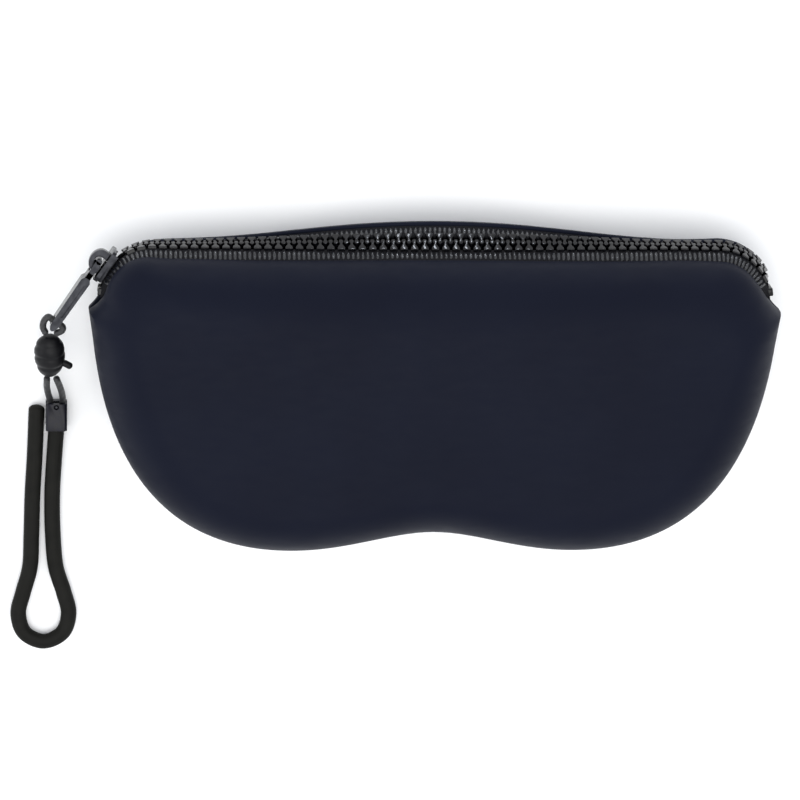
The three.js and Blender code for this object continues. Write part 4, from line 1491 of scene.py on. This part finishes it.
    def _pin(self) -> bpy.types.Object:
        """Makes the pin with domed ends."""
        low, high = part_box("cuff_pin")
        centre = (low + high) / 2
        radius = (high.x - low.x) / 2
        levels = [(low.z, 0.6), (low.z + 0.12 * MM, 0.92), (low.z + 0.3 * MM, 1.0)]
        levels += [(high.z - 0.3 * MM, 1.0), (high.z - 0.12 * MM, 0.92), (high.z, 0.6)]
        rings = []
        for z, scale in levels:
            rings.append([(x, y, z) for x, y in arc((centre.x, centre.y), (radius * scale,) * 2, 0, 345, 23)])
        piece = make_object("fork_pin", *loft(rings))
        self.palette.metal.dress(piece)
        return piece


# ---------------------------------------------------------------- studio


@dataclass
class Studio:
    """Camera, floor and lights.

    Attributes:
        aim: The point in the middle of the picture.
        tilt: How far the camera leans towards the zip from straight above the front face.
        swing: How far it leans to the left.
        distance: How far away it is.
        picture_width: The width that the picture covers at the aim.
        palette: The finishes.
    """

    aim: Vector
    palette: Palette
    tilt: float = math.radians(16)
    swing: float = math.radians(5)
    distance: float = 1.1
    picture_width: float = 208.7 * MM

    def camera(self) -> None:
        """Makes the camera."""
        data = bpy.data.cameras.new("camera")
        data.sensor_width = 36
        data.lens = data.sensor_width * self.distance / self.picture_width
        camera = bpy.data.objects.new("camera", data)
        bpy.context.scene.collection.objects.link(camera)
        back = Vector((
            -math.sin(self.swing) * math.cos(self.tilt),
            math.sin(self.tilt),
            math.cos(self.swing) * math.cos(self.tilt),
        ))
        right = (Vector((1, 0, 0)) - back * back.x).normalized()
        up = back.cross(right)
        turn = Matrix((right, up, back)).transposed()
        camera.matrix_world = Matrix.Translation(self.aim + back * self.distance) @ turn.to_4x4()
        bpy.context.scene.camera = camera

    def floor(self) -> None:
        """Lays a wide pale floor under the case."""
        half = 2.5
        corners = [(-half, -half, -0.1 * MM), (half, -half, -0.1 * MM), (half, half, -0.1 * MM), (-half, half, -0.1 * MM)]
        floor = make_object("floor", corners, [(0, 1, 2, 3)])
        self.palette.floor.dress(floor)

    def area(self, name: str, place: Point, size: tuple[float, float], power: float, colour: Point) -> None:
        """Hangs a soft box that faces the case."""
        data = bpy.data.lights.new(name, "AREA")
        data.shape = "RECTANGLE"
        data.size, data.size_y = size
        data.energy = power
        data.color = colour
        light = bpy.data.objects.new(name, data)
        bpy.context.scene.collection.objects.link(light)
        light.location = place
        light.rotation_euler = (Vector(place) - self.aim).to_track_quat("Z", "Y").to_euler()

    def lights(self) -> None:
        """Hangs the lights and sets the room's even light."""
        world = bpy.data.worlds.new("room")
        world.use_nodes = True
        background = world.node_tree.nodes["Background"]
        background.inputs["Color"].default_value = (0.95, 0.97, 1.0, 1)
        background.inputs["Strength"].default_value = 1.2
        bpy.context.scene.world = world
        self.area("key_box", (-0.1, -0.1, 1.1), (0.9, 0.7), 5, (1.0, 0.99, 0.97))
        self.area("window_left", (0.075, 1.0, 0.05), (0.03, 0.08), 0.5, (0.85, 0.9, 1.0))
        self.area("window_right", (0.115, 1.0, 0.05), (0.05, 0.08), 0.8, (0.85, 0.9, 1.0))
        self.area("side_fill", (-1.0, -0.2, 0.5), (0.5, 0.5), 1.5, (0.97, 0.98, 1.0))


# ---------------------------------------------------------------- assembly


def main() -> None:
    """Builds the case from the camera and the cords to the last stop of the zip."""
    logging.basicConfig(level=logging.INFO, format="%(name)s: %(message)s")
    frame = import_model()
    FRAME.update(frame)
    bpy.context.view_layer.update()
    palette = Palette()
    travel = joint_named(frame, "slider_travel")
    pivot = Vector(joint_named(frame, "puller_flip")["pos_m"])
    hole = Vector(joint_named(frame, "strap_swing")["pos_m"])
    rear_low, rear_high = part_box("rear_shell")
    _, front_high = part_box("front_shell")
    corner = Vector(travel["pos_m"])

    bpy.context.scene.view_settings.view_transform = "Standard"
    studio = Studio(Vector((-8.9 * MM, -2.05 * MM, corner.z)), palette)
    studio.camera()
    studio.floor()
    studio.lights()

    lanyard = Lanyard(hole, palette)
    for piece in lanyard.build():
        log.info("built %s", piece.name)

    line = ZipLine(top_half=-corner.x, corner_y=corner.y, seam_z=corner.z)
    pouch = Pouch(
        line, half_width=rear_high.x, lobe_y=rear_low.y, front_z=front_high.z - 1.27 * MM, finish=palette.silicone,
    )
    for piece in pouch.build():
        log.info("built %s", piece.name)

    slider_turn = math.radians(55)
    slider_s = -(line.top_half + line.corner_radius * slider_turn)
    zipper = Zip(
        line, half_width=rear_high.x, palette=palette,
        first_s=slider_s + 5.64 * MM, last_s=-slider_s + 4.6 * MM,
    )
    for piece in zipper.build():
        log.info("built %s", piece.name)

    centre, outward = line.centre(slider_s)
    slider_centre = Vector((centre.x, centre.y, line.seam_z))
    pivot_y = (pivot - slider_centre).dot(Vector((outward.x, outward.y, 0)))
    log.info("built %s", Slider(slider_centre, slider_turn, pivot_y, palette.metal).build().name)
    reach = hole - pivot
    heading = math.atan2(reach.y, reach.x)
    log.info("built %s", Puller(pivot, heading, reach.length, palette.metal).build().name)


if __name__ == "__main__":
    main()
